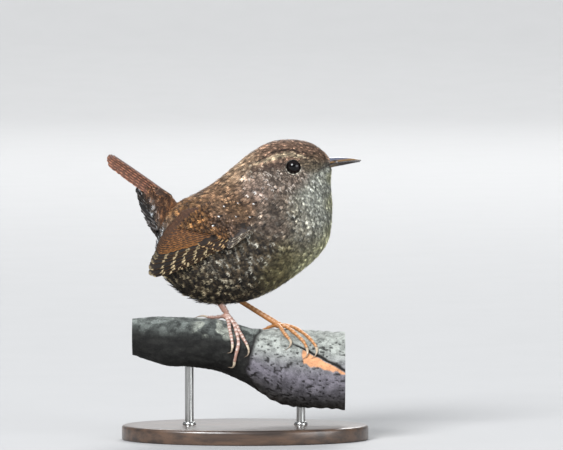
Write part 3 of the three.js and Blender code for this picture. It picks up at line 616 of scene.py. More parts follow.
def markings(point, table=BODY_MARKS):
    """For points in millimetres: base, dark and pale colours, and strengths of bars, tips and streaks."""
    CHUNK = 20000
    x, y = point[..., 0] / MARK_STEP + MARK_MIDDLE, MARK_FLOOR - point[..., 2] / MARK_STEP
    stray = 1.5 + 4 * smooth(246, 226, x)
    x = x + stray * (noise(point, 4, 1) - 0.5) + 2 * (noise(point, 1.5, 2) - 0.5)
    y = y + stray * (noise(point, 4, 3) - 0.5) + 2 * (noise(point, 1.5, 4) - 0.5)
    shape = x.shape
    flat = np.stack([x.ravel(), y.ravel()], -1)
    out = np.empty((len(flat), table.shape[1] - 3))
    for start in range(0, len(flat), CHUNK):
        part = flat[start : start + CHUNK]
        away = ((part[:, None] - table[None, :, :2]) ** 2).sum(-1) / table[None, :, 2] ** 2
        weight = np.exp(-1.2 * (away - away.min(1, keepdims=True)))
        out[start : start + CHUNK] = (weight / weight.sum(1, keepdims=True)) @ table[:, 3:]
    out = out.reshape(*shape, -1)
    base, dark, pale, marks = out[..., :3], out[..., 3:6], out[..., 6:9], out[..., 9:]
    if table is not BODY_MARKS:
        return base, dark, pale, marks
    on_head = smooth(236, 246, x) * (np.abs(point[..., 1]) > 1.5)
    brow, light, stripe = (line_mask(line, x, y) * on_head for line in (BROW_LINE, SUPERCILIUM, EYE_STRIPE))
    from_eye = np.hypot(x - EYE_PLACE[0], y - EYE_PLACE[1])
    ring = smooth(10.5, 9, from_eye) * smooth(-2, 3, y - EYE_PLACE[1]) * on_head
    inks = (30, 23, 20), (66, 50, 42), (204, 186, 154), (206, 194, 178)
    for share, ink in zip((brow, stripe, light, 0.4 * ring), inks):
        base = mixed(base, linear(*ink), 0.85 * share)
    pale = mixed(pale, linear(236, 226, 206), np.maximum(light, ring))
    dark = mixed(dark, linear(72, 56, 44), light)
    marks = marks * (1 - 0.4 * stripe)[..., None]
    return base, dark, pale, marks


# Body feathers


def feather_form(barbs, ragged, sweep, seed):
    """One small feather, as barbs that fan out from its shaft.

    Gives points as shares of its length and half width, faces, and the number of each point's barb.
    """
    draw = np.random.default_rng(seed)
    points, faces = [], []
    wide = 0.52 / barbs
    for side in (-1, 1):
        for j in range(barbs):
            start = 0.03 + (0.96 - sweep) * j / barbs
            end = min(1.0, start + sweep * (0.8 + 0.4 * draw.random()))
            shape = math.sin(math.pi * min(1, 0.16 + 0.76 * end)) ** 0.7
            reach = side * max(0.1, shape) * (1 + ragged * (draw.random() - 0.5))
            if j == barbs - 1:
                end, reach = 1.0 - 0.04 * draw.random(), side * 0.1
            bend = start + 0.42 * (end - start)
            first = len(points)
            points += [
                (start - wide, 0), (start + wide, 0),
                (bend - 0.85 * wide, 0.62 * reach), (bend + 0.85 * wide, 0.62 * reach), (end, reach),
            ]
            for a, b, c in ((0, 1, 3), (0, 3, 2), (2, 3, 4)):
                b, c = (b, c) if side > 0 else (c, b)
                faces.append((first + a, first + b, first + c))
    return np.array(points), np.array(faces), np.arange(2 * barbs).repeat(5)


# Broad forms for scale-like feathers, then narrow ones for streaked plumage.
FORMS = [
    feather_form(15, 0.35, 0.26, 11), feather_form(14, 0.5, 0.3, 12), feather_form(14, 0.6, 0.34, 13),
    feather_form(11, 0.4, 0.42, 14), feather_form(10, 0.6, 0.46, 15),
]
BROAD = 3
WIDTHS = (0.7, 0.66, 0.6, 0.4, 0.36)


def scatter(points, spacing):
    """Indices of points that keep their spacing from one another."""
    tree = KDTree(len(points))
    for i, p in enumerate(points):
        tree.insert(p, i)
    tree.balance()
    free = np.ones(len(points), bool)
    kept = []
    for i, p in enumerate(points):
        if free[i]:
            kept.append(i)
            for _, j, _ in tree.find_range(p, spacing[i]):
                free[j] = False
    return np.array(kept)


def feather_size(point):
    """Feather length, smallest on the face and round the eye and longest on the flanks and belly."""
    FACE, SHORTEST, LONGEST, AT_EYE = np.array([25, 0, 94]), 1.45, 3.5, 0.75
    away = np.linalg.norm(point - FACE, axis=-1)
    near_tail = smooth(-22, -30, point[..., 0])
    from_eye = np.hypot(point[..., 0] - EYE_X, point[..., 2] - EYE_Z)
    size = np.clip(1.3 + 0.048 * away, SHORTEST, LONGEST) * (1 - 0.3 * near_tail)
    return np.minimum(size, np.maximum(AT_EYE, 1.1 * (from_eye - 2.3)))


def draw_roots(surface, tries, allowed):
    """Roots of feathers over a surface, set closer where the feathers are smaller."""
    TIGHT = 0.25
    rows, columns = surface.points.shape[:2]
    area = surface.stretch[..., 0] * surface.stretch[..., 1]
    weight = (area / feather_size(surface.points) ** 2).ravel()
    cell = rng.choice(rows * columns, tries, p=weight / weight.sum())
    place = np.stack([cell // columns, cell % columns], -1) + rng.random((tries, 2)) - 0.5
    place = place / surface.size * surface.high
    u, v = np.clip(place[:, 0], 0, surface.high[0]), place[:, 1]
    point, _ = surface.at(u, v)
    good = allowed(point, u, v)
    u, v, point = u[good], v[good], point[good]
    kept = scatter(point, TIGHT * feather_size(point))
    return u[kept], v[kept], point[kept]


def walk(surface, u, v, length, yaw):
    """Places at even steps along feathers that start at u, v."""
    LEVELS = 7
    track = np.empty((LEVELS, 2, len(u)))
    track[0] = u, v
    step = length / (LEVELS - 1)
    for k in range(1, LEVELS):
        along, around = surface.metric(track[k - 1, 0], track[k - 1, 1])
        track[k, 0] = track[k - 1, 0] - np.cos(yaw) * step / along
        track[k, 1] = track[k - 1, 1] + np.sin(yaw) * step / around
    return track


def lay(surface, track, width, yaw, sink, lift, form):
    """Lays copies of one feather form along tracks over a surface, and gives points and faces."""
    points, faces = form[:2]
    s = np.clip(points[:, 0], 0, 1) * (len(track) - 1)
    i = np.minimum(s.astype(int), len(track) - 2)
    f = (s - i)[:, None]
    here = track[i] * (1 - f[..., None]) + track[i + 1] * f[..., None]
    pu, pv = here[:, 0].T, here[:, 1].T
    along, around = surface.metric(pu, pv)
    across = points[None, :, 1] * width[:, None] / 2
    pu = pu + np.sin(yaw)[:, None] * across / along
    pv = pv + np.cos(yaw)[:, None] * across / around
    point, normal = surface.at(pu, pv)
    height = -sink[:, None] + (sink + lift)[:, None] * np.clip(points[None, :, 0], 0, 1) ** 0.8
    height = height - 0.10 * width[:, None] * points[None, :, 1] ** 2
    whole = point + normal * height[..., None]
    every = faces[None] + np.arange(len(width))[:, None, None] * len(points)
    return whole.reshape(-1, 3), every.reshape(-1, 3)


def feather_tint(colours, form):
    """Colours of each point of the feathers: a dark bar before a pale tip, a dark shaft, uneven barbs."""
    base, dark, pale, marks = colours
    points, _, barb = form
    t, across = points[None, :, 0], np.abs(points[None, :, 1])
    count = len(base)
    bars, tips, streaks = (marks[:, k, None] for k in range(3))
    start = 0.5 + 0.2 * rng.random((count, 1))
    kind = rng.random((count, 1))
    bar = smooth(start - 0.1, start, t) * smooth(start + 0.3, start + 0.2, t) * (kind < 0.75)
    bar = np.maximum(bar, smooth(0.45, 0.55, t) * (kind < 0.34 * bars))
    tint = mixed(base[:, None], dark[:, None], np.minimum(1, 1.1 * bars) * bar)
    streak = streaks * smooth(0.5, 0.15, across) * smooth(0.2, 0.5, t) * (rng.random((count, 1)) < 0.65)
    tint = mixed(tint, dark[:, None], streak)
    edge = 0.8 - 0.22 * rng.random((count, 1))
    tipped = np.minimum(1, 1.25 * tips) * smooth(edge - 0.04, edge + 0.06, t) * (kind > 1 - 0.5 * tips)
    tint = mixed(tint, pale[:, None], tipped)
    shade = 0.3 + 0.7 * smooth(0.15, 0.6, t)
    spread = 0.1 + np.maximum(0.34 * bars, 0.8 * streaks)
    whole = spread * (rng.standard_normal((count, 1)) - 0.5 * spread)
    each_barb = 0.22 * rng.standard_normal((count, barb[-1] + 1))[:, barb]
    return (tint * (shade * np.exp(whole + each_barb))[..., None]).reshape(-1, 3)


def feather_uv(home, form):
    """A small patch for each feather at its root's place on the skin's unwrap."""
    PATCH = 0.003
    offset = np.stack([form[0][:, 0] - 0.5, form[0][:, 1] / 2], -1) * PATCH
    home = 0.004 + 0.992 * np.clip(home, 0, 1)
    return (home[:, None] + offset[None]).reshape(-1, 2)


class Coat(Shape):
    """Small feathers gathered into one mesh."""

    def feathers(self, surface, track, length, width, yaw, lift, form, inks, home):
        points, faces = lay(surface, track, width, yaw, 0.14 * length, lift, form)
        self.add(points, [faces], tint=feather_tint(inks, form), uv=feather_uv(home, form))

    def cover(self, surface, u, v, root, home, table=BODY_MARKS, lift=0.34, loose=None):
        """Feathers at roots all over a surface. Loose is how much further each one stands out."""
        size = feather_size(root) * np.exp(0.1 * rng.standard_normal(len(root)))
        yaw = 0.14 * rng.standard_normal(len(root))
        raised = lift * (0.35 + 0.2 * size) * (0.4 + 1.2 * rng.random(len(root)))
        if loose is not None:
            raised = raised * (1 + loose)
        track = walk(surface, u, v, size, yaw)
        seen, _ = surface.at(track[5, 0], track[5, 1])
        inks = markings(seen, table)
        streaky = rng.random(len(root)) < smooth(0.4, 0.75, inks[3][:, 2])
        narrow, broad = rng.integers(BROAD, len(FORMS), len(root)), rng.integers(0, BROAD, len(root))
        kind = np.where(streaky, narrow, broad)
        for k, form in enumerate(FORMS):
            m = kind == k
            if m.any():
                wide, ink = WIDTHS[k] * size[m], [c[m] for c in inks]
                self.feathers(surface, track[..., m], size[m], wide, yaw[m], raised[m], form, ink, home[m])


# Wing surface

WRIST = np.array([3.7, 74.1])
WING_ANGLE = math.radians(206)
WING_ALONG = np.array([math.cos(WING_ANGLE), math.sin(WING_ANGLE)])
WING_UP = np.array([WING_ALONG[1], -WING_ALONG[0]])
WING_STEP = 0.4
WING_X, WING_Z = np.arange(-44, 16.01, WING_STEP), np.arange(46, 96.01, WING_STEP)


def body_half_width(x, z):
    """How far the body's side lies from its middle plane, by the first section that passes the place."""
    stations = np.linspace(0, 1, 241)
    middle, rise, half, pear = body_section(stations)
    across = unit(np.cross([0, 1, 0], rise))
    place = np.stack([x, 0 * x, z], -1)
    result = np.zeros(len(x))
    offset = place @ across.T - (middle * across).sum(-1)
    passed = (offset[:, :-1] >= 0) & (offset[:, 1:] < 0)
    first = np.argmax(passed, 1) + 1
    height = ((place - middle[first]) * rise[first]).sum(-1) / (rise[first] ** 2).sum(-1)
    inside = passed.any(1) & (np.abs(height) < 1)
    h = height[inside]
    result[inside] = half[first[inside]] * np.sqrt(1 - h * h) * (1 - pear[first[inside]] * h)
    return result


def wing_table():
    """How far out the closed wing lies: its own arched form, blended with the body under it."""
    ARCH, ALONG, BEND, OVER, UNDER, GAP, BLEND = 14.8, 0.14, 0.0088, 0.065, 0.024, 0.55, 1.2
    x, z = (a.ravel() for a in mesh_of(WING_X, WING_Z))
    along = (x - WRIST[0]) * WING_ALONG[0] + (z - WRIST[1]) * WING_ALONG[1]
    up = (x - WRIST[0]) * WING_UP[0] + (z - WRIST[1]) * WING_UP[1]
    free = ARCH + ALONG * along - BEND * along**2 - np.where(up > 0, OVER, UNDER) * up**2
    on_body = body_half_width(x, z) + GAP
    half = 0.5 * (free + on_body + np.sqrt((free - on_body) ** 2 + BLEND**2))
    return half.reshape(len(WING_X), len(WING_Z))


WING_TABLE = wing_table()
WING_SLOPE = np.stack(np.gradient(WING_TABLE, WING_STEP), -1)


def table_at(table, x, z):
    """A value of the wing's tables at places in the side view."""
    places = ((x, WING_X), (z, WING_Z))
    return bilinear(table, *(np.clip((p - axis[0]) / WING_STEP, 0, len(axis) - 1.001) for p, axis in places))


def wing_point(side, x, z, lift):
    """A point on the folded wing, lifted off its inner surface."""
    slope = table_at(WING_SLOPE, x, z)
    out = unit(np.stack([-slope[..., 0], np.ones_like(x), -slope[..., 1]], -1))
    point = np.stack([x, table_at(WING_TABLE, x, z), z], -1) + out * np.asarray(lift)[..., None]
    point[..., 1] *= side
    return point


# Large feathers


def vane_outline(t, tip):
    """Half width of a large feather as a share, from its root to a rounded or pointed tip."""
    ROOT = 0.62
    widening = ROOT + (1 - ROOT) * np.sin(np.clip(t / 0.7, 0, 1) * np.pi / 2)
    return widening * np.sqrt(np.clip(1 - (np.clip((t - tip) / (1 - tip), 0, 1)) ** 2, 0, 1))


def blade(
    place, length, width, inks, pattern, cell,
    tip=0.8, steps=26, across=4, thickness=0.12, jitter=0.5, curl=0.1,
):
    """One large feather as a thin closed slab. Place turns t, a distance across and a lift into points.

    Cell is the feather's place in the piece's unwrap, as its number and the cells in a row.
    """
    number, per_row = cell
    draw = np.random.default_rng(1000 + number)
    t = np.linspace(0, 1, steps + 1)
    a = np.linspace(-1, 1, 2 * across + 1)
    notch = 1 - 0.16 * (draw.random((steps + 1, 2)) ** 3)
    half = vane_outline(t, tip)[:, None] * np.where(a[None] < 0, notch[:, :1], notch[:, 1:]) * width / 2
    grid_t, grid_a = mesh_of(t, a)
    curl = -curl * width * grid_a**2
    serrated = grid_t + 0.5 * (half * np.abs(grid_a)) / length * smooth(0, 0.2, grid_t)
    serrated = np.minimum(serrated, 1.0 + 0.02 * draw.random(serrated.shape))
    shape = Shape()
    seed = jitter * draw.random()
    rows, columns = grid_t.shape
    count = rows * columns
    corner = np.array([number % per_row, number // per_row]) / per_row
    same_all_over = dict(zip(("tint", "mark", "glow", "pat"), (*inks, pattern)))
    values = {key: np.broadcast_to(value, (count, 3)) for key, value in same_all_over.items()}
    values["fst"] = np.stack([grid_t, grid_a, np.full_like(grid_t, seed)], -1).reshape(-1, 3)
    faces = grid_faces(rows, columns)
    for face, sign in ((0, 1), (1, -1)):
        points = place(serrated, half * grid_a, curl + sign * thickness / 2 * (1 - 0.6 * grid_t))
        in_cell = np.stack([0.02 + 0.46 * (grid_a + 1) / 2 + 0.5 * face, 0.02 + 0.96 * grid_t], -1)
        values["uv"] = (corner + in_cell / per_row).reshape(-1, 2)
        shape.add(points, [faces[:, ::sign]], **values)
    rim = np.concatenate([
        np.arange(columns), columns * np.arange(1, rows) + columns - 1,
        (rows - 1) * columns + np.arange(columns - 2, -1, -1), columns * np.arange(rows - 2, 0, -1),
    ])
    following = np.roll(rim, -1)
    shape.faces.append(np.stack([rim, rim + count, following + count, following], -1))
    return shape


class Blades(Shape):
    """Large feathers joined into one piece, with a square of its unwrap for each."""

    def __init__(self, per_row):
        super().__init__()
        self.number, self.per_row = 0, per_row

    def feather(self, place, length, width, inks, pattern, **settings):
        made = blade(place, length, width, inks, pattern, (self.number, self.per_row), **settings)
        points, values = made.joined()
        self.add(points, made.faces, **values)
        self.number += 1
        assert self.number <= self.per_row**2


def colours(*rows):
    """A large feather's own colour, its dark marks and its pale spots."""
    return [linear(*row) for row in rows]


PRIMARY = colours((92, 66, 40), (12, 9, 8), (224, 202, 158))
SECONDARY = colours((156, 104, 54), (28, 18, 12), (176, 122, 70))
TERTIAL = colours((150, 100, 60), (60, 38, 25), (190, 138, 90))
PRIMARY_COVERT = colours((120, 82, 46), (18, 13, 10), (206, 172, 124))
ALULA = colours((170, 152, 128), (36, 31, 34), (214, 204, 184))


def wing_feather(blades, side, root, end, layer, width, look, pattern, sunk=0.0, **settings):
    """One wing feather from a root to a tip in the side view, its lower edge standing off a little."""
    BOW, TILT, THICK = 0.08, 0.12, 0.275
    root, end = np.array(root, float), np.array(end, float)
    span = end - root
    bend = (root + end) / 2 + np.array([span[1], -span[0]]) * BOW

    def place(t, across, lift):
        w = np.clip(t, 0, 1.03)[..., None]
        centre = root * (1 - w) ** 2 + 2 * bend * w * (1 - w) + end * w**2
        tangent = unit(2 * (1 - w) * (bend - root) + 2 * w * (end - bend))
        x = centre[..., 0] + tangent[..., 1] * across
        z = centre[..., 1] - tangent[..., 0] * across
        depth = sunk * (1 - np.minimum(1, 2.2 * t)) ** 2
        return wing_point(side, x, z, THICK + layer - depth + lift - TILT * across)

    blades.feather(place, np.linalg.norm(span), width, look, pattern, curl=0.02, **settings)


def line_at(points, share):
    return curve(points, np.array([share]), power=0.0, clamped=True)[0]


def wing_row(blades, side, count, roots, tips, width, layers, look, pattern, sunk=0.0, **settings):
    """Feathers side by side. A look or pattern may be a function of the share of the row."""
    for i in range(count):
        share = i / (count - 1)
        layer = layers[0] + (layers[1] - layers[0]) * share
        chosen, marks = (value(share) if callable(value) else value for value in (look, pattern))
        root, tip = line_at(roots, share), line_at(tips, share)
        wing_feather(blades, side, root, tip, layer, width, chosen, marks, sunk, **settings)


SPOTS = [(0.4, 75.7), (-4.0, 75.3), (-9.2, 74.9), (-11.2, 72.1), (1.7, 80.1), (-3.5, 80.0), (-7.7, 78.3)]


def wing_piece(name, side):
    """Primaries, secondaries and tertials, primary coverts, and the alula."""
    blades = Blades(10)
    wing_row(
        blades, side, 9, [(-7.6, 67.0), (-4.6, 69.8)],
        [(-20.1, 61.0), (-28.6, 57.0), (-32.2, 57.0), (-31.2, 60.8), (-29.6, 63.2)],
        4.2, (0.1, 1.3), PRIMARY, lambda s: (7.0, 0.4, 0.95 * (1 - 0.7 * s)), tip=0.66, steps=34, jitter=0.12,
    )
    wing_row(
        blades, side, 15, [(-6.3, 70.4), (-10.5, 77.4)],
        [(-28.9, 64.4), (-27.4, 67.4), (-25.0, 70.8), (-20.4, 75.4)], 3.9, (1.4, 2.1),
        lambda s: [a + (b - a) * s for a, b in zip(SECONDARY, TERTIAL)],
        lambda s: (13.0 - 5 * s, 0.2 + 0.5 * s, 0.1), tip=0.78, steps=30,
    )
    wing_row(
        blades, side, 6, [(0.6, 72.0), (0.4, 73.6)], [(-9.6, 65.8), (-15.4, 67.0)],
        2.8, (1.35, 1.7), PRIMARY_COVERT, (5.0, 0.6, 0.8), steps=20, jitter=0.3,
    )
    wing_row(
        blades, side, 4, [(1.4, 71.4), (2.4, 73.0)], [(-5.8, 66.4), (-4.9, 69.4)],
        2.2, (1.5, 2.0), ALULA, (3.0, 0.2, 0.6), 1.9, steps=18, tip=0.7,
    )
    return blades.piece(name.replace("wing", "wing_feathers"), VANES, "wing_feathers", (name,))


# Tail

TAIL_RISE = math.radians(36.7)
TAIL_ROOT = np.array([-23.2, 0, 78.2])
TAIL_BACK = np.array([-math.cos(TAIL_RISE), 0, math.sin(TAIL_RISE)])
TAIL_UP = np.array([math.sin(TAIL_RISE), 0, math.cos(TAIL_RISE)])
TAIL_CORE = [
    # from the tip of the fleshy root into the body: back x, back z, belly x, belly z, half width
    (-35.4, 90.2, -36.0, 85.6, 1.4), (-32.2, 88.0, -34.4, 80.0, 2.4), (-28.8, 85.6, -32.4, 75.0, 3.4),
    (-25.6, 83.2, -30.2, 70.4, 4.2), (-22.4, 80.6, -27.0, 66.6, 4.6),
]
RECTRIX = colours((172, 118, 90), (88, 60, 50), (204, 150, 118))
RUMP = colours((142, 98, 68), (46, 30, 21), (196, 156, 128))
UNDER_TAIL = [
    colours((226, 228, 230), (60, 52, 48), (238, 240, 240)),
    colours((120, 96, 78), (24, 20, 18), (230, 228, 224)),
    colours((58, 48, 44), (16, 14, 14), (226, 228, 230)),
]


def core_surface():
    """The tail's fleshy root, for feathers to lie on."""
    last = len(TAIL_CORE) - 1
    u, angle = mesh_of(np.linspace(0, last, 121), np.linspace(0, TURN, 121))
    back_x, back_z, belly_x, belly_z, half = (np.interp(u, range(last + 1), row) for row in zip(*TAIL_CORE))
    share = (1 + np.cos(angle)) / 2
    x, z = belly_x + (back_x - belly_x) * share, belly_z + (back_z - belly_z) * share
    core = Surface(np.stack([x, half * np.sin(angle), z], -1), (last, TURN), wraps=True)
    return core.facing_away(core.points.mean(1, keepdims=True))


LEFTWARDS = np.array([0, 1.0, 0])


def rolled(side, roll, up):
    """The ways across a feather and out of its face, when it is rolled about its length."""
    out = LEFTWARDS * side
    return out * math.cos(roll) - up * math.sin(roll), out * math.sin(roll) + up * math.cos(roll)


def tail_feather(blades, side, length, out, rise, roll, width, look, pattern, **settings):
    """A long feather from the root of the tail, spread out and down from its middle."""
    START = 3.0
    across, face = rolled(side, roll, TAIL_UP)

    def place(t, sideways, lift):
        t = t[..., None]
        centre = TAIL_ROOT + TAIL_BACK * (START + (length - START) * t)
        height = rise * (1 - 0.25 * t * t) - 1.6 * smooth(0.16, 0, t)
        centre = centre + LEFTWARDS * side * (0.4 + 0.6 * t) * out + TAIL_UP * height
        return centre + across * (side * sideways)[..., None] + face * lift[..., None]

    blades.feather(place, length, width, look, pattern, **settings)


def vent_feather(blades, side, root, end, out, roll, width, look, pattern, **settings):
    """A soft feather under the tail, from a root to a tip in the side view."""
    span = unit(end - root)
    across, face = rolled(side, roll, np.array([span[1], 0, -span[0]]))

    def place(t, sideways, lift):
        w = t[..., None]
        centre = root * (1 - w) + end * w
        centre = np.stack([centre[..., 0], np.full(t.shape, side * out), centre[..., 1]], -1)
        return centre + across * sideways[..., None] + face * (lift + 0.5 * t * t)[..., None]

    blades.feather(place, np.linalg.norm(end - root), width, look, pattern, **settings)


def tail_piece():
    """Six pairs of tail feathers, the rump's longest over them, and the soft ones under them."""
    PAIRS, RUMP_PAIRS, VENT_COUNT = 6, 4, 60
    vent_roots = [(-33.6, 80.6), (-30.2, 73.4), (-26.6, 65.6)]
    vent_tips = [(-37.4, 86.0), (-36.3, 81.6), (-34.9, 77.0), (-32.5, 72.2), (-29.6, 68.4)]
    blades = Blades(12)
    for side in SIDES.values():
        for pair in range(PAIRS):
            o = pair / (PAIRS - 1)
            length, rise = 29.8 - 1.5 * (2 * o - 1) ** 2, 2.9 - 3.2 * o**1.2
            tail_feather(
                blades, side, length, 0.8 + 2.2 * o, rise, 0.12 + 0.85 * o, 3.5,
                RECTRIX, (12.0, 0.8, 0.0), tip=0.88, steps=40, jitter=0.12,
            )
        for i in range(RUMP_PAIRS):
            tail_feather(
                blades, side, 12.5 - 1.0 * i, 0.7 + 0.75 * i, 3.1 - 0.42 * i, 0.15 + 0.3 * i, 3.2,
                RUMP, (5.0, 0.55, 0.4), steps=18,
            )
        for i in range(VENT_COUNT):
            share = rng.random()
            outer = (i % 4) / 3
            stray = 1.6 * (rng.random(2) - 0.5)
            root, tip = line_at(vent_roots, share) + stray, line_at(vent_tips, share) - 0.6 * stray
            vent_feather(
                blades, side, root, tip, 0.4 + 2.2 * outer, 0.3 + 0.75 * outer, 0.7 + 0.5 * rng.random(),
                UNDER_TAIL[rng.integers(3)], (2.0, 0.6, 0.5), steps=12, across=2, tip=0.45, thickness=0.05,
            )
    return blades.piece("tail_feathers_set", VANES, "tail_feathers", ("tail",))


# Skin

EYE_X, EYE_Y, EYE_Z, EYE_RADIUS = 16.5, 5.95, 93.2, 2.9
FEET = {
    "right": {
        "ankle": (-6.9, -3.0, 44.3), "heel": (-15.5, -7.2, 57.5), "thigh": 13.8, "sole": (-6.3, 14, 2.5),
        "toes": {
            "outer": (
                [(-6.6, 12, 3.0), (-5.6, 27, 1.7), (-5.2, 41, 0.95), (-4.5, 64, 0.9), (-4.2, 74, 0.95)],
                [(-4.3, 82, 1.3), (-4.7, 90, 1.0), (-6.2, 96, 0.5)],
            ),
            "middle": (
                [(-5.8, 14, 3.0), (-3.9, 27, 1.8), (-2.8, 46, 0.95), (-2.2, 68, 0.95), (-2.9, 89, 0.9),
                 (-3.5, 106, 0.95)],
                [(-3.7, 114, 1.3), (-4.3, 122, 1.0), (-5.8, 129, 0.5)],
            ),
            "inner": (
                [(-5.6, 9, 2.7), (-3.3, 24, 1.6), (-2.0, 39, 1.05), (-0.4, 55, 1.0), (0.7, 64, 1.0)],
                [(1.3, 74, 1.35), (1.0, 83, 1.0), (-0.3, 91, 0.5)],
            ),
            "hind": (
                [(-7.0, 8, 2.4), (-8.8, 0, 1.5), (-11.0, -7, 1.0), (-12.8, -11, 0.95)],
                [(-14.2, -14, 1.35), (-15.9, -17, 1.1), (-17.4, -20, 0.5)],
            ),
        },
    },
    "left": {
        "ankle": (9.9, 1.0, 40.0), "heel": (-4.5, 5.2, 48.6), "thigh": 3.6, "sole": (11.2, -3, 1.5),
        "toes": {
            "inner": (
                [(11.2, 2, 1.9), (12.2, 15, 1.6), (13.4, 28, 1.15), (15.2, 40, 0.95)],
                [(15.6, 47, 1.3), (15.0, 54, 1.0), (13.4, 60, 0.5)],
            ),
            "middle": (
                [(11.4, -2, 1.9), (14.4, 9, 1.5), (17.4, 26, 1.0), (19.8, 41, 0.95), (21.0, 53, 0.95)],
                [(21.2, 60, 1.3), (20.9, 66, 1.0), (19.6, 71, 0.5)],
            ),
            "outer": (
                [(11.6, -5, 1.8), (15.8, -2, 1.4), (19.4, 18, 1.0), (22.4, 37, 0.95), (24.2, 51, 0.95)],
                [(24.4, 59, 1.3), (23.8, 65, 1.0), (22.3, 70, 0.5)],
            ),
            "hind": (
                [(10.2, -6, 1.7), (8.4, -13, 1.2), (6.4, -22, 0.95), (5.0, -30, 0.95)],
                [(4.1, -37, 1.35), (3.0, -44, 1.05), (1.6, -50, 0.5)],
            ),
        },
    },
}


def coat_depth(point):
    """How far the skin lies under the feathers' outer surface."""
    return np.clip(0.17 * feather_size(point), 0.25, 0.7)


def skin_piece(core):
    """One skin over body, head, thighs and the root of the tail, laid out side by side on its unwrap."""
    skin = Shape()

    def add(rings, home, ends, table=BODY_MARKS):
        points, faces = capped(rings)
        base, dark, _, _ = markings(points, table)
        uv = 0.004 + 0.992 * np.concatenate([home.reshape(-1, 2), ends])
        skin.add(points, faces, tint=mixed(base, dark, np.full(len(base), 0.5)) * 0.8, uv=uv)

    u, v = mesh_of(np.linspace(0, BODY_STATIONS, 240), round_turn(160))
    rings, normal = body.at(u, v)
    from_eye = np.hypot(rings[..., 0] - EYE_X, rings[..., 2] - EYE_Z)
    at_eye = smooth(3.7, 2.9, from_eye) * (np.abs(rings[..., 1]) > 3)
    rings = rings - normal * (coat_depth(rings) + 1.6 * at_eye)[..., None]
    add(rings, body_home(u, v), [[0, 0.5], [BODY_HOME, 0.5]])
    u, v = mesh_of(np.linspace(0, core.high[0], 60), round_turn(80))
    rings, normal = core.at(u, v)
    add(rings - normal * 0.3, core_home(u, v), [[SMALL_HOME, 0.2], [0.99, 0.2]], TAIL_MARKS)
    for foot, low in zip(FEET.values(), (0.5, 0.75)):
        heel, ankle = np.array(foot["heel"]), np.array(foot["ankle"])
        along = unit(ankle - heel)
        ends = [heel - along, heel + along * (foot["thigh"] / 2 - 0.5), heel + along * (foot["thigh"] - 0.4)]
        rings, share, _ = tube(ends, lambda t, a: 2.0 - 1.05 * t, 24, 32)
        i, k = mesh_of(share, np.linspace(0, 1, rings.shape[1]))
        add(rings, np.stack([SMALL_HOME + 0.1 * i, low + 0.2 * k], -1), [[SMALL_HOME, low], [0.98, low]])
    skin.piece("skin", SKIN, "plumage_breast", ("torso", "neck", "head", "thigh_right", "thigh_left"))


# Coat

SHEET_CENTRE, SHEET_LONG, SHEET_FRONT, SHEET_TALL = np.array([-3.9, 76.4]), 26, 12, 10
SHEET_FINE = 5
SHEET_ROWS, SHEET_COLUMNS = SHEET_FINE * (SHEET_LONG + SHEET_FRONT), 2 * SHEET_FINE * SHEET_TALL


BODY_HOME, SMALL_HOME = 0.86, 0.88


def body_home(u, v):
    """A place on the body in the skin's unwrap, which it fills up to BODY_HOME."""
    return np.stack([BODY_HOME * u / BODY_STATIONS, np.mod(v, TURN) / TURN], -1)


def core_home(u, v):
    return np.stack([SMALL_HOME + 0.11 * u / 4, 0.45 * np.mod(v, TURN) / TURN], -1)


def sheet_fall(a, b, near, far):
    """Falls from one in the middle of the wing's upper surface to nothing at its front and edges."""
    reach = np.sqrt((np.minimum(a, 0) / 11.5) ** 2 + (b / np.where(b > 0, 9.4, 8.6)) ** 2)
    return smooth(far, near, reach)


def wing_arm_sheet(side):
    """The wing's upper surface, for small coverts to lie on. Rows run from tail to head."""
    a = np.linspace(SHEET_LONG, -SHEET_FRONT, SHEET_ROWS + 1)
    a, b = mesh_of(a, np.linspace(-SHEET_TALL, SHEET_TALL, SHEET_COLUMNS + 1))
    place = SHEET_CENTRE + a[..., None] * WING_ALONG + b[..., None] * WING_UP
    lift = 0.35 + 3.0 * sheet_fall(a, b, 0.66, 1.04) * smooth(-7, 4, a)
    points = wing_point(side, place[..., 0], place[..., 1], lift)
    return Surface(points, (SHEET_ROWS, SHEET_COLUMNS)).facing_away(points * [1, 0, 1])


WING_OUTLINE = np.array([
    (3.7, 74.1), (-6, 67), (-20, 61.4), (-28.4, 57.9), (-31.8, 57.6), (-30.9, 61.2), (-28.8, 64.6),
    (-24.6, 70.8), (-20.4, 76.5), (-14, 81), (-6.6, 84.6), (-2.0, 83.2), (3.0, 79.5),
])


def inside(outline, x, z):
    """True for places in the side view that an outline goes round."""
    result = np.zeros(x.shape, bool)
    for (x1, z1), (x2, z2) in zip(outline, np.roll(outline, -1, axis=0)):
        if z1 != z2:
            crosses = (z1 > z) != (z2 > z)
            result ^= crosses & (x < (x2 - x1) * (z - z1) / (z2 - z1) + x1)
    return result


def wing_outline(share):
    middle = WING_OUTLINE.mean(0)
    return middle + (WING_OUTLINE - middle) * share


def sheet_home(u, v):
    return np.stack([u / SHEET_ROWS, v / SHEET_COLUMNS], -1)


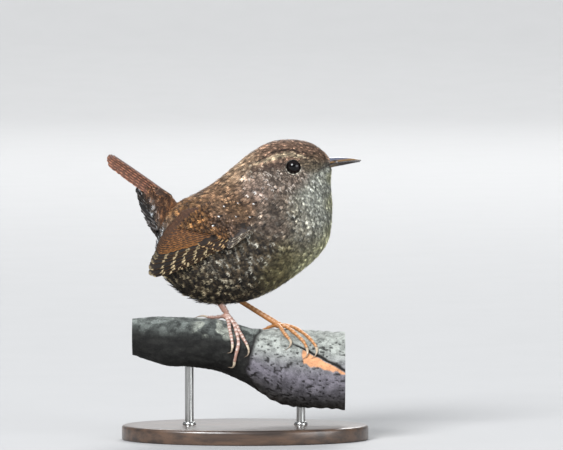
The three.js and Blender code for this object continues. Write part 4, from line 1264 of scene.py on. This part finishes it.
def white_spots(coat, sheet):
    """The small coverts with white tips and black before them."""
    offset = np.array(SPOTS) - SHEET_CENTRE
    one = np.ones(len(offset))
    for length, wide, lift, ink in ((2.9, 0.55, 0.7, (14, 12, 12)), (1.9, 0.62, 1.0, (250, 250, 248))):
        u = SHEET_FINE * (SHEET_LONG - offset @ WING_ALONG + length)
        v = SHEET_FINE * (offset @ WING_UP + SHEET_TALL)
        size, yaw = length * one, 0.1 * rng.standard_normal(len(u))
        colour = one[:, None] * linear(*ink) * 1.2
        inks = [colour, colour, colour, 0 * colour]
        track = walk(sheet, u, v, size, yaw)
        coat.feathers(sheet, track, size, wide * size, yaw, lift * one, FORMS[0], inks, sheet_home(u, v))


BODY_TRIES, TAIL_ROOT_TRIES, WING_TRIES = 140000, 16000, 50000
BARE_RING, BARE_MOUTH = 2.85, 0.55


def body_coat():
    """Feathers over body and head, apart from under the wings, at the eyes and along the mouth."""
    covered = wing_outline(0.86)

    def allowed(point, u, v):
        x, y, z = point[:, 0], np.abs(point[:, 1]), point[:, 2]
        under_wing = inside(covered, x, z) & (table_at(WING_TABLE, x, z) - y < 3.5)
        at_eye = (np.hypot(x - EYE_X, z - EYE_Z) < BARE_RING) & (y > 4)
        at_mouth = (x > 25.4) & (np.abs(z - 92.5 - 0.32 * (x - 25)) < BARE_MOUTH)
        return ~under_wing & ~at_eye & ~at_mouth

    u, v, root = draw_roots(body, BODY_TRIES, allowed)
    home = body_home(u, v)
    spiky = 1.8 * smooth(58, 50, root[:, 2]) * smooth(2, -8, root[:, 0]) + 1.2 * smooth(-20, -27, root[:, 0])
    side = np.where(root[:, 1] < 0, -1, 1)
    # each part of the body with the stations that it lies between
    parts = {"head": (8.1, 99), "breast": (6.1, 8.1), "flank": (4.3, 6.1), "rear": (-1, 4.3)}
    for part, (low, high) in parts.items():
        for name, sign in SIDES.items():
            m = (u > low) & (u <= high) & (side == sign)
            coat = Coat()
            coat.cover(body, u[m], v[m], root[m], home[m], loose=spiky[m])
            if part == "head":
                nasal_tuft(coat, sign)
            coat.piece(f"coat_{part}_{name}", COAT, "plumage_brown" if part == "head" else "plumage_breast")


def tail_root_coat(core):
    """Feathers over the tail's fleshy root, which go on further along its back than below."""

    def allowed(point, u, v):
        return u < np.where(point[:, 2] > 76, 3.8, 3.2)

    u, v, root = draw_roots(core, TAIL_ROOT_TRIES, allowed)
    coat = Coat()
    coat.cover(core, u, v, root, core_home(u, v), TAIL_MARKS, 0.4)
    coat.piece("coat_tail_root", COAT, "plumage_brown")


def wing_coat(name, side):
    """Small coverts over the wing's upper surface, except where the alula shows."""
    sheet = wing_arm_sheet(side)

    def on_arm(point, u, v):
        a, b = SHEET_LONG - u / SHEET_FINE, v / SHEET_FINE - SHEET_TALL
        at_alula = (np.abs(a - 2.8) < 3.6) & (b < -5.6)
        on_wing = inside(wing_outline(0.93), point[:, 0], point[:, 2])
        return (sheet_fall(a, b, 0.9, 1.0) > 0.5) & (a < 11.5 + 1.35 * b) & ~at_alula & on_wing

    u, v, root = draw_roots(sheet, WING_TRIES, on_arm)
    coat = Coat()
    coat.cover(sheet, u, v, root, sheet_home(u, v), WING_MARKS, 0.42)
    white_spots(coat, sheet)
    coat.piece(f"coat_wing_{name}", COAT, "plumage_brown")


def nasal_tuft(coat, side):
    """Tiny feathers that point forwards over the root of the bill."""
    COUNT, FIRST_STATION, SPAN = 150, 11.2, 0.75
    u, v = FIRST_STATION + SPAN * rng.random(COUNT), side * (0.1 + 1.9 * rng.random(COUNT))
    size = 1.0 + 0.4 * rng.random(COUNT)
    yaw = math.pi + 0.35 * rng.standard_normal(COUNT)
    root, _ = body.at(u, v)
    track = walk(body, u, v, size, yaw)
    lift, form = 0.3 + 0.2 * rng.random(COUNT), FORMS[BROAD]
    coat.feathers(body, track, size, 0.4 * size, yaw, lift, form, markings(root), body_home(u, v))


# Head details


def eye_piece(name, side):
    """The eyeball, with a slight bulge over the iris."""
    BULGE = 0.07
    p, q = mesh_of(np.linspace(0.001, np.pi, 40), round_turn(64))
    radius = EYE_RADIUS + BULGE * smooth(0.62, 0.2, p)
    x, z = EYE_X + radius * np.sin(p) * np.cos(q), EYE_Z + radius * np.sin(p) * np.sin(q)
    iris = smooth(0.38, 0.44, p.ravel()) * smooth(0.85, 0.75, p.ravel())
    eye = Shape()
    rings = np.stack([x, side * (EYE_Y + radius * np.cos(p)), z], -1)
    eye.add_tube(rings, iris=np.concatenate([iris, [0, 0]]))
    eye.piece(name + "_ball", EYE, "eye", (name,))


def lid_piece(name, side):
    """The bare rim of skin round the eye, from inside the socket out to the first feathers."""
    turn = round_turn(96)
    profile = [
        # distance from the eye's axis, height over the ball, and how far it follows the body instead
        (2.3, -0.2, 0), (2.36, 0.02, 0), (2.44, 0.12, 0), (2.54, 0.16, 0.2), (2.66, 0.14, 0.45),
        (2.82, 0.05, 0.75), (3.1, -0.1, 1), (3.7, -0.35, 1),
    ]
    rings = []
    for k, (radius, over, on_body) in enumerate(profile):
        beads = 0.05 * np.sin(16 * turn + 2 * k) * (2 <= k <= 4)
        x = EYE_X + (radius + beads) * 1.03 * np.cos(turn)
        z = EYE_Z + (radius + beads) * 0.98 * np.sin(turn)
        ball = EYE_Y + math.sqrt(EYE_RADIUS**2 - min(radius, 2.7) ** 2)
        y = over + ball * (1 - on_body) + body_half_width(x, z) * on_body
        rings.append(np.stack([x, side * y, z], -1))
    rings = np.array(rings)
    low = smooth(0.3, -0.5, np.sin(turn))
    fleck = 0.5 + 0.5 * np.sin(11 * turn + 1)
    pale = np.clip(0.1 + 0.9 * low * fleck, 0, 1)[None] * np.array([0, 0, 0.2, 1, 0.8, 0.1, 0, 0])[:, None]
    tint = mixed(linear(30, 25, 23), linear(216, 208, 192), pale)
    tint[5:] = linear(58, 46, 38)
    lid = Shape()
    faces = grid_faces(len(profile), len(turn), closed=True)
    lid.add(rings, [faces[:, ::side]], tint=tint.reshape(-1, 3))
    lid.piece("eyelid_" + name, SKIN, "plumage_brown")


BILL_ROOT, BILL_TIP = 28.6, 39.4


MOUTH_ROOT, MOUTH_RISE, BILL_HALF, BILL_TIP_HALF = 93.7, 1.5, 1.9, 0.22
NOSTRIL = (30.6, 94.95)


def mouth_height(t):
    """Height of the line between the bill's halves, which curves up towards the tip."""
    return MOUTH_ROOT + MOUTH_RISE * t**0.55


def bill_half_width(t):
    return BILL_HALF * (1 - t) + BILL_TIP_HALF * t + 0.25 * np.sin(np.pi * t)


def bill_rings(upper):
    """Rings of one half of the bill, which goes on into the face, with its colour."""
    ARCH = 28
    t = np.linspace(-0.14, 1 if upper else 0.97, 66)
    angle = np.linspace(0, np.pi, ARCH + 1)
    root = BILL_ROOT + (0 if upper else 0.25)
    rings, tints = [], []
    for x, share in zip(root + (BILL_TIP - root) * t, np.maximum(t, 0)):
        wide = bill_half_width(share) * (1 if upper else 0.92)
        droop = 0.35 * share**6
        if upper:
            low = mouth_height(share) + 0.05 - droop
            ridge = curve([(0, 96.1), (0.4, 96.2), (0.75, 95.95), (1, 95.3)], share, 0.0, True)[1]
            z = low + np.sin(angle) ** 0.85 * (ridge - low)
        else:
            depth = 1.05 * (1 - share) + 0.22 + 0.28 * np.sin(np.pi * share)
            z = mouth_height(share) - 0.08 - droop - np.sin(angle) ** 0.8 * depth
        ring = np.stack([np.full(ARCH + 1, x), np.cos(angle) * (wide if upper else -wide), z], -1)
        under = ring[::-1][1:-1].copy()
        under[:, 2] = ring[0, 2] + (0.02 if upper else -0.02)
        ring = np.concatenate([ring, under])
        up = ring[:, 2] - ring[0, 2]
        if upper:
            pit_x, pit_z = NOSTRIL
            above = ring[:, 2] - pit_z - 0.12 * (pit_x - x)
            pit = np.exp(-(((x - pit_x) / 0.8) ** 2) - (above / 0.24) ** 2)
            ring[:, 1] -= np.sign(ring[:, 1]) * 0.5 * pit * (np.abs(ring[:, 1]) > 0.6)
            tint = mixed(linear(84, 88, 104), linear(116, 88, 52), smooth(1.15, 0.45, up))
            tint = mixed(tint, linear(20, 16, 15), smooth(0.28, 0.12, up))
            # Painted shade: the nostril's dented pit is painted near black as the shade inside it.
            tint = mixed(tint, linear(12, 10, 10), np.clip(1.6 * pit, 0, 1))
        else:
            horn = 0.8 * smooth(0.35, 0.0, share) * smooth(-0.1, -0.5, up)
            tint = mixed(linear(30, 24, 22), linear(126, 106, 78), horn)
        rings.append(ring)
        tints.append(mixed(tint, linear(34, 30, 32), np.full(len(ring), 0.6 * smooth(0.7, 1.0, share))))
    return np.array(rings), np.concatenate(tints)


def bill_pieces():
    """Both halves of the bill, and the dark corners of the mouth."""
    for upper, node in ((True, "bill_upper"), (False, "bill_lower")):
        rings, tint = bill_rings(upper)
        bill = Shape()
        bill.add_tube(rings, tint)
        bill.piece(node + "_horn", BILL, "bill", (node,))
    gape = Shape()
    for side in SIDES.values():
        places = np.array([(30.2, 94.05), (28.6, 93.65), (27.2, 93.15), (25.8, 92.6), (24.6, 92.2)])
        out = np.maximum(body_half_width(places[:, 0], places[:, 1]) + 0.12, [1.75, 2.2, 0, 0, 0])
        line = np.stack([places[:, 0], side * out, places[:, 1]], -1)
        rings, _, _ = tube(line, lambda t, a: 0.3 * (1 - 0.8 * t), 30, 16)
        gape.add_tube(rings, linear(34, 26, 21))
    gape.piece("gape_corners", BILL, "bill")


# Legs, feet and claws

BRANCH = [
    # along, across and up of the middle, and the radius
    (-38.4, 1.5, 35.0, 6.0), (-27.5, 0.6, 33.4, 7.8), (-18.0, 0.1, 33.3, 8.3), (-8.5, 0, 31.8, 9.0),
    (2.7, 0, 27.7, 9.8), (10.2, 0, 25.5, 12.0), (19.7, 0, 24.0, 13.1), (34.0, -0.8, 23.5, 13.4),
]
BRANCH_SHARES = np.linspace(0, 1, 1200)
BRANCH_FINE = curve(BRANCH, BRANCH_SHARES, power=0.0)
GIRTH_FINE = curve([(b[0], b[3]) for b in BRANCH], BRANCH_SHARES, power=0.0)


def on_branch(x, degrees, height=0.0):
    """Points round the branch, the angle counted from its top towards the bird's right side."""
    x, angle = np.asarray(x, float), np.radians(degrees)
    cy, cz = (np.interp(x, BRANCH_FINE[:, 0], BRANCH_FINE[:, k]) for k in (1, 2))
    knobs = 0.3 * np.sin(2 * angle + 0.16 * x) + 0.2 * np.sin(3 * angle - 0.23 * x + 1)
    radius = np.interp(x, GIRTH_FINE[:, 0], GIRTH_FINE[:, 1]) + knobs + height
    return np.stack([x + 0 * angle, cy - radius * np.sin(angle), cz + radius * np.cos(angle)], -1)


def path_on_branch(places, sunk=0.3):
    """A toe's line from places along and round the branch, with heights over it."""
    return np.array([on_branch(x, degrees, height - sunk) for x, degrees, height in places])


def scutes(count, share, angle, depth):
    """Overlapping plates on the front of a leg or toe: a saw wave along it that fades behind."""
    phase = np.mod(share * count, 1)
    front = smooth(-0.4, 0.3, np.cos(angle))
    return depth * (1 - phase) ** 2 * front - 0.6 * depth * (phase < 0.08) * front


LEG_TINTS = {
    # base, pale plates, dark joints between them
    "right": ((156, 120, 106), (206, 190, 182), (92, 62, 54)),
    "left": ((164, 108, 56), (198, 154, 112), (110, 68, 38)),
}


def leg_tint(name, share, angle, count):
    """Pale plates in front with dark joints between them."""
    base, pale, dark = (linear(*c) for c in LEG_TINTS[name])
    phase = np.mod(share * count, 1)
    front = smooth(-0.4, 0.4, np.cos(angle))
    tint = mixed(np.broadcast_to(base, (*phase.shape, 3)), pale, 0.75 * front * smooth(0.25, 0.7, phase))
    return mixed(tint, dark, 0.8 * front * smooth(0.12, 0.02, phase)).reshape(-1, 3)


def scaled_tube(shape, name, line, radius, steps, sides, plates, flat=1.0):
    """A leg or toe, with plates along its front."""
    rings, share, angle = tube(line, lambda t, a: radius(t) + scutes(plates, t, a, 0.07), steps, sides, flat)
    shape.add_tube(rings, leg_tint(name, *np.broadcast_arrays(share[:, None], angle[None]), plates))


def toe_girth(t):
    return 0.56 * (1.16 - 0.26 * t) * (1 + 0.11 * np.sin(6 * np.pi * t))


def claw_girth(t, a):
    return 0.46 * (1 - 0.93 * t**1.2) * (1 - 0.12 * np.cos(2 * a))


def leg_piece(name, heel, ankle):
    leg, thick = Shape(), 0.95 if name == "right" else 0.85
    line = [heel, (heel + ankle) / 2, ankle]
    scaled_tube(leg, name, line, lambda t: thick + 0.14 * t * t, 120, 32, 11, 0.8)
    leg.piece(f"leg_{name}_scutes", LEG, "leg", (f"leg_{name}",))


def foot_piece(name, heel, ankle):
    """Toes, the palm that they meet in, and the ankle's joint."""
    toes, palm, along = Shape(), on_branch(*FEET[name]["sole"]), unit(ankle - heel)
    for toe, _ in FEET[name]["toes"].values():
        scaled_tube(toes, name, path_on_branch(toe), toe_girth, 90, 24, 10)
    joint = [ankle - 0.3 * along, ankle + 0.8 * along, palm]
    scaled_tube(toes, name, joint, lambda t: 0.95 + 0 * t, 24, 24, 3)
    polar, turn = mesh_of(np.linspace(0.01, np.pi - 0.01, 24), round_turn(36))
    x, y = 1.45 * np.sin(polar) * np.cos(turn), 1.25 * np.sin(polar) * np.sin(turn)
    ball = np.stack([x, y, 1.15 * np.cos(polar)], -1)
    ball = ball * (1 + 0.05 * noise(ball * 3, 1, 5))[..., None] + palm
    toes.add_tube(ball, leg_tint(name, polar / np.pi, turn, 5))
    toes.piece(f"foot_{name}_scutes", LEG, "leg", (f"foot_{name}",))


def claws_piece(name):
    claws = Shape()
    for toe, claw in FEET[name]["toes"].values():
        before, end = path_on_branch(toe[-2:])
        line = np.vstack([end + unit(end - before) * 0.1, path_on_branch(claw, 0.4)])
        rings, share, _ = tube(line, claw_girth, 40, 20)
        t = np.broadcast_to(share[:, None], rings.shape[:2]).reshape(-1)
        tint = mixed(plain_tint((176, 160, 138), len(t)), linear(112, 98, 84), smooth(0.2, 1, t))
        claws.add_tube(rings, tint)
    claws.piece(f"claws_{name}", CLAW, "claw", [f"claw_{name}_{toe}" for toe in FEET[name]["toes"]])


def leg_pieces(name):
    heel, ankle = np.array(FEET[name]["heel"]), np.array(FEET[name]["ankle"])
    leg_piece(name, heel, ankle)
    foot_piece(name, heel, ankle)
    claws_piece(name)


# Perch and stand


PERCH_ROWS, PERCH_COLUMNS = 290, 250


def bark_surface():
    """The branch's skin: smooth dark bark, then torn to a paler, pitted and peeling length of it. The dark
    bark carries a painted highlight on top, and both kinds carry painted shade underneath.
    """
    places = np.linspace(BRANCH[0][0], BRANCH[-1][0], PERCH_ROWS)
    x, degrees = mesh_of(places, np.linspace(0, 360, PERCH_COLUMNS + 1)[:-1])
    plain = on_branch(x, degrees)
    round_way = np.abs((degrees + 180) % 360 - 180)
    torn = 3.0 + 2.2 * np.sin(np.radians(degrees) * 2 + 1) + 2.4 * (noise(plain, 3, 6) - 0.5)
    pale_side = smooth(-0.3, 0.3, x - torn)
    rough = 0.3 * (noise(plain * [0.5, 1, 1], 1.2, 7) - 0.5) + 0.2 * (noise(plain, 0.6, 8) - 0.5)
    folds = 0.16 * np.sin(1.9 * x + 2.5 * noise(plain, 6, 9) * 3) * pale_side
    lichen = smooth(0.5, 0.62, noise(plain, 2.2, 10)) * smooth(62, 35, np.abs((degrees + 180) % 360 - 198))
    lichen = lichen * smooth(-19, -15, x) * smooth(-3, -6, x)
    over = degrees - 58 - 2.4 * (x - 21) - 4 * (noise(plain, 2.5, 12) - 0.5)
    lower = 80 + 0.9 * (x - 21) + 5 * (noise(plain, 1.5, 16) - 0.5)
    started = smooth(19.4, 19.9, x - 0.8 * (noise(plain, 2, 13) - 0.5))
    flake = smooth(0, 2, over) * started * smooth(0, -2, degrees - lower)
    # Painted shadow: a dented crack next to the flake, which is also painted near black as the shadow that
    # falls into it.
    shadowed_crack = smooth(-7, -4, over) * smooth(0.5, -1, over) * smooth(15, 18, x) * (degrees < 180)
    # Painted shade: small dented pits on the pale bark, painted near black as the shade inside them.
    shaded_pits = smooth(0.68, 0.76, noise(plain * [0.5, 1, 1], 0.55, 14))
    shaded_pits = shaded_pits * pale_side * smooth(20, 45, round_way) * (1 - flake)
    height = 0.1 + rough * (1 - 0.5 * pale_side) + folds
    height = height + 0.22 * (1 - pale_side) * smooth(-1.6, -0.2, x - torn)
    height = height + 0.2 * lichen * noise(plain, 0.7, 15) - 0.35 * flake - 0.4 * shadowed_crack - 0.25 * shaded_pits
    rings = on_branch(x, degrees, np.clip(height, -0.45, 0.3) * (1 - 0.8 * flake))
    # Painted light: the dark bark is painted lit grey on top and shaded near black underneath.
    under = smooth(20, 85, round_way)
    patches = smooth(0.42, 0.62, noise(plain * [0.6, 1, 1], 1.4, 17))
    dark = mixed(plain_tint((112, 118, 114), *x.shape), linear(28, 28, 26), under)
    dark = mixed(dark, 0.35 * dark, 0.75 * patches)
    dark = mixed(dark, linear(150, 154, 144), 0.8 * lichen)
    light = mixed(plain_tint((160, 164, 158), *x.shape), linear(112, 108, 116), smooth(50, 100, round_way))
    # Painted shade: past 100 degrees from the top the pale bark is darkened towards its underside. The
    # grey-purple band before it is the bark's own colour.
    light = mixed(light, linear(62, 60, 58), smooth(100, 150, round_way))
    light = mixed(light, 0.5 * light, 0.7 * patches * smooth(0.3, 0.7, noise(plain, 3, 18)))
    tint = mixed(dark, light, pale_side)
    mark = mixed(0.35 * dark, 0.55 * light, pale_side)
    glow = mixed(2.4 * dark, 1.5 * light, pale_side)
    wood = plain_tint((206, 150, 110), *x.shape)
    tint, mark, glow = (mixed(a, b * wood, flake) for a, b in ((tint, 1.0), (mark, 0.75), (glow, 1.2)))
    edge = smooth(0.9, 0.3, np.abs(x - torn)) * (1 - 0.4 * pale_side)
    # Painted shade: the crack and the pits are painted near black as the shade in them, and the torn edge
    # gets a dark line with them.
    black = np.maximum(np.maximum(0.9 * edge, shadowed_crack), 0.85 * shaded_pits)
    return rings, [mixed(a, linear(20, 18, 17), black) for a in (tint, mark, glow)]


def cut_end(rim, way):
    """A sawn end of the branch: growth rings inside a rim of bark."""
    centre, shares = rim.mean(0), np.linspace(1, 0.02, 40)
    disc = centre + (rim - centre)[None] * shares[:, None, None]
    growth = 0.5 + 0.5 * np.sin(shares[:, None] * 42 + 2 * noise(disc, 4, 11))
    disc[..., 0] = rim[0, 0] - way * 0.06 * growth * (shares[:, None] < 0.97)
    inner = smooth(0.985, 0.93, shares)[:, None] * np.ones(len(rim))
    wood = mixed(plain_tint((190, 160, 122), *growth.shape), linear(150, 116, 80), 0.7 * growth)
    tint = mixed(plain_tint((60, 56, 52), *growth.shape), wood, inner)
    middle = np.arange(len(rim)) + (len(shares) - 1) * len(rim)
    faces = [grid_faces(len(shares), len(rim), closed=True), middle[None, :]]
    normal = np.cross(disc[1, 1] - disc[0, 0], disc[1, 0] - disc[0, 1])[0]
    if normal * way < 0:
        faces = [g[:, ::-1] for g in faces]
    return disc, faces, (tint, 0.8 * tint, 1.1 * tint)


def perch_piece():
    perch = Shape()
    rings, inks = bark_surface()
    faces = outward(rings, [grid_faces(PERCH_ROWS, PERCH_COLUMNS, closed=True)])
    for points, faces, inks in ((rings, faces, inks), cut_end(rings[0], -1), cut_end(rings[-1], 1)):
        tint, mark, glow = (ink.reshape(-1, 3) for ink in inks)
        perch.add(points, faces, tint=tint, mark=mark, glow=glow)
    perch.piece("perch_bark", BARK, "bark", ("perch_branch",))


BASE_LONG, BASE_WIDE, BASE_TOP, BASE_SUNK = 42, 26, 5.0, 0.1
BASE_PROFILE = [
    # inset from the rim, height
    (0.5, 0), (0.12, 0.18), (0, 0.5), (0, 3.9), (0.08, 4.4), (0.3, 4.75), (0.65, 4.93), (1.0, BASE_TOP),
    (6.0, BASE_TOP), (16.0, BASE_TOP),
]
ROD_PLACES, ROD_RADIUS, ROD_SUNK = (-19, 19), 1.5, 0.9
COLLAR_RADIUS, COLLAR_HEIGHT = 2.3, 1.0


def oval(long, wide, z, count):
    turn = round_turn(count)
    return np.stack([long * np.cos(turn), wide * np.sin(turn), np.full(count, float(z))], -1)


def base_piece():
    base = Shape()
    base.add_tube(np.array([oval(BASE_LONG - inset, BASE_WIDE - inset, z, 180) for inset, z in BASE_PROFILE]))
    base.piece("stand_base_plinth", BASE, "stand_base", ("stand_base",))


def rod_piece(node, x):
    """A rod from just inside the base up into the branch, with a collar round its foot."""
    low = BASE_TOP - BASE_SUNK
    middle, girth = (np.interp(x, fine[:, 0], fine[:, k]) for fine, k in ((BRANCH_FINE, 2), (GIRTH_FINE, 1)))
    top = middle - girth + ROD_SUNK
    rod = Shape()
    for bottom, end, radius, steps in (
        (low, top, lambda t, a: ROD_RADIUS + 0 * t, 24),
        (BASE_TOP, BASE_TOP + COLLAR_HEIGHT, lambda t, a: COLLAR_RADIUS - 0.35 * t**3, 8),
    ):
        line = [(x, 0, z) for z in (bottom, 0.5 * (bottom + end), end)]
        rod.add_tube(tube(line, radius, steps, 48)[0])
    rod.piece(f"{node}_steel", ROD, "stand_rod", (node,))


# Stage, light and camera


def stage():
    """A wide pale floor that curves up into a wall all round."""
    COUNT = 128
    profile = [
        # radius, height
        (0.05, 0), (3200, 0), (3700, 60), (4150, 260), (4450, 600), (4600, 1100), (4600, 2600),
    ]
    rings = np.array([oval(r, r, z - 0.02, COUNT) for r, z in profile])
    mesh = bpy.data.meshes.new("studio_floor")
    faces = grid_faces(len(profile), COUNT, closed=True)
    mesh.from_pydata((rings.reshape(-1, 3) * MM).tolist(), [], faces.tolist())
    mesh.shade_smooth()
    floor = put_in_scene("studio_floor", mesh)
    look = Look("studio_floor_paint", roughness=0.9)
    grain = look.noise(look.place(), 30.0)
    mesh.materials.append(look.finish(look.mix(grain, (0.37, 0.37, 0.37), (0.39, 0.39, 0.39))))


def aim_at(made, place, target):
    made.location = place
    made.rotation_euler = (Vector(target) - Vector(place)).to_track_quat("-Z", "Y").to_euler()


def area_light(name, place, target, size, power, colour):
    light = bpy.data.lights.new(name, "AREA")
    light.shape = "DISK"
    light.size = size
    light.energy = power
    light.color = colour
    aim_at(put_in_scene(name, light), place, target)


def studio():
    """A pale world and four soft lamps, with the camera of the photo's view. Places are in metres."""
    world = bpy.data.worlds.new("studio")
    world.use_nodes = True
    sky, strength = world.node_tree.nodes["Background"].inputs[:2]
    sky.default_value = (0.86, 0.92, 1.0, 1)
    strength.default_value = 0.45
    bpy.context.scene.world = world
    bpy.context.scene.view_settings.view_transform = "Standard"
    bird, wall = (0, 0, 0.065), (0, 3.9, 0)
    for name, place, target, size, power, colour in (
        ("key", (-1.3, -2.3, 1.9), bird, 1.5, 175, (0.97, 0.98, 1.0)),
        ("fill", (2.4, -2.0, 0.7), bird, 2.0, 60, (0.95, 0.98, 1.0)),
        ("back", (0.4, 2.2, 2.0), bird, 1.6, 50, (1, 1, 1)),
        ("wash", (0, 3.2, 2.4), wall, 2.4, 70, (1, 1, 1)),
    ):
        area_light(name, place, target, size, power, colour)
    lens = bpy.data.cameras.new("camera")
    lens.sensor_width = 36
    lens.lens = 376
    lens.clip_end = 20
    camera = put_in_scene("camera", lens)
    AWAY, RISE, AIM = 2, math.radians(3), Vector((0.0124, 0, 0.0731))
    aim_at(camera, AIM + AWAY * Vector((0, -math.cos(RISE), math.sin(RISE))), AIM)
    bpy.context.scene.camera = camera


COAT = plumage_look("plumage_feathers")
SKIN = plumage_look("plumage_skin", 0.8)
VANES = vane_look("flight_feathers")
EYE = eye_look()
BILL = bill_look()
LEG = scaly_look("leg_scales", 0.42, 0.3)
CLAW = scaly_look("claw_horn", 0.3, 0.2)
BARK = bark_look()
BASE = base_look()
ROD = rod_look()

tail_core = core_surface()
skin_piece(tail_core)
body_coat()
tail_root_coat(tail_core)
for side_name, side_sign in SIDES.items():
    wing_coat(side_name, side_sign)
for side_name, side_sign in SIDES.items():
    wing_piece(f"wing_{side_name}", side_sign)
    eye_piece(f"eye_{side_name}", side_sign)
    lid_piece(side_name, side_sign)
    leg_pieces(side_name)
tail_piece()
bill_pieces()
perch_piece()
base_piece()
for i, rod_x in enumerate(ROD_PLACES):
    rod_piece(f"stand_rod_{i + 1}", rod_x)
stage()
studio()
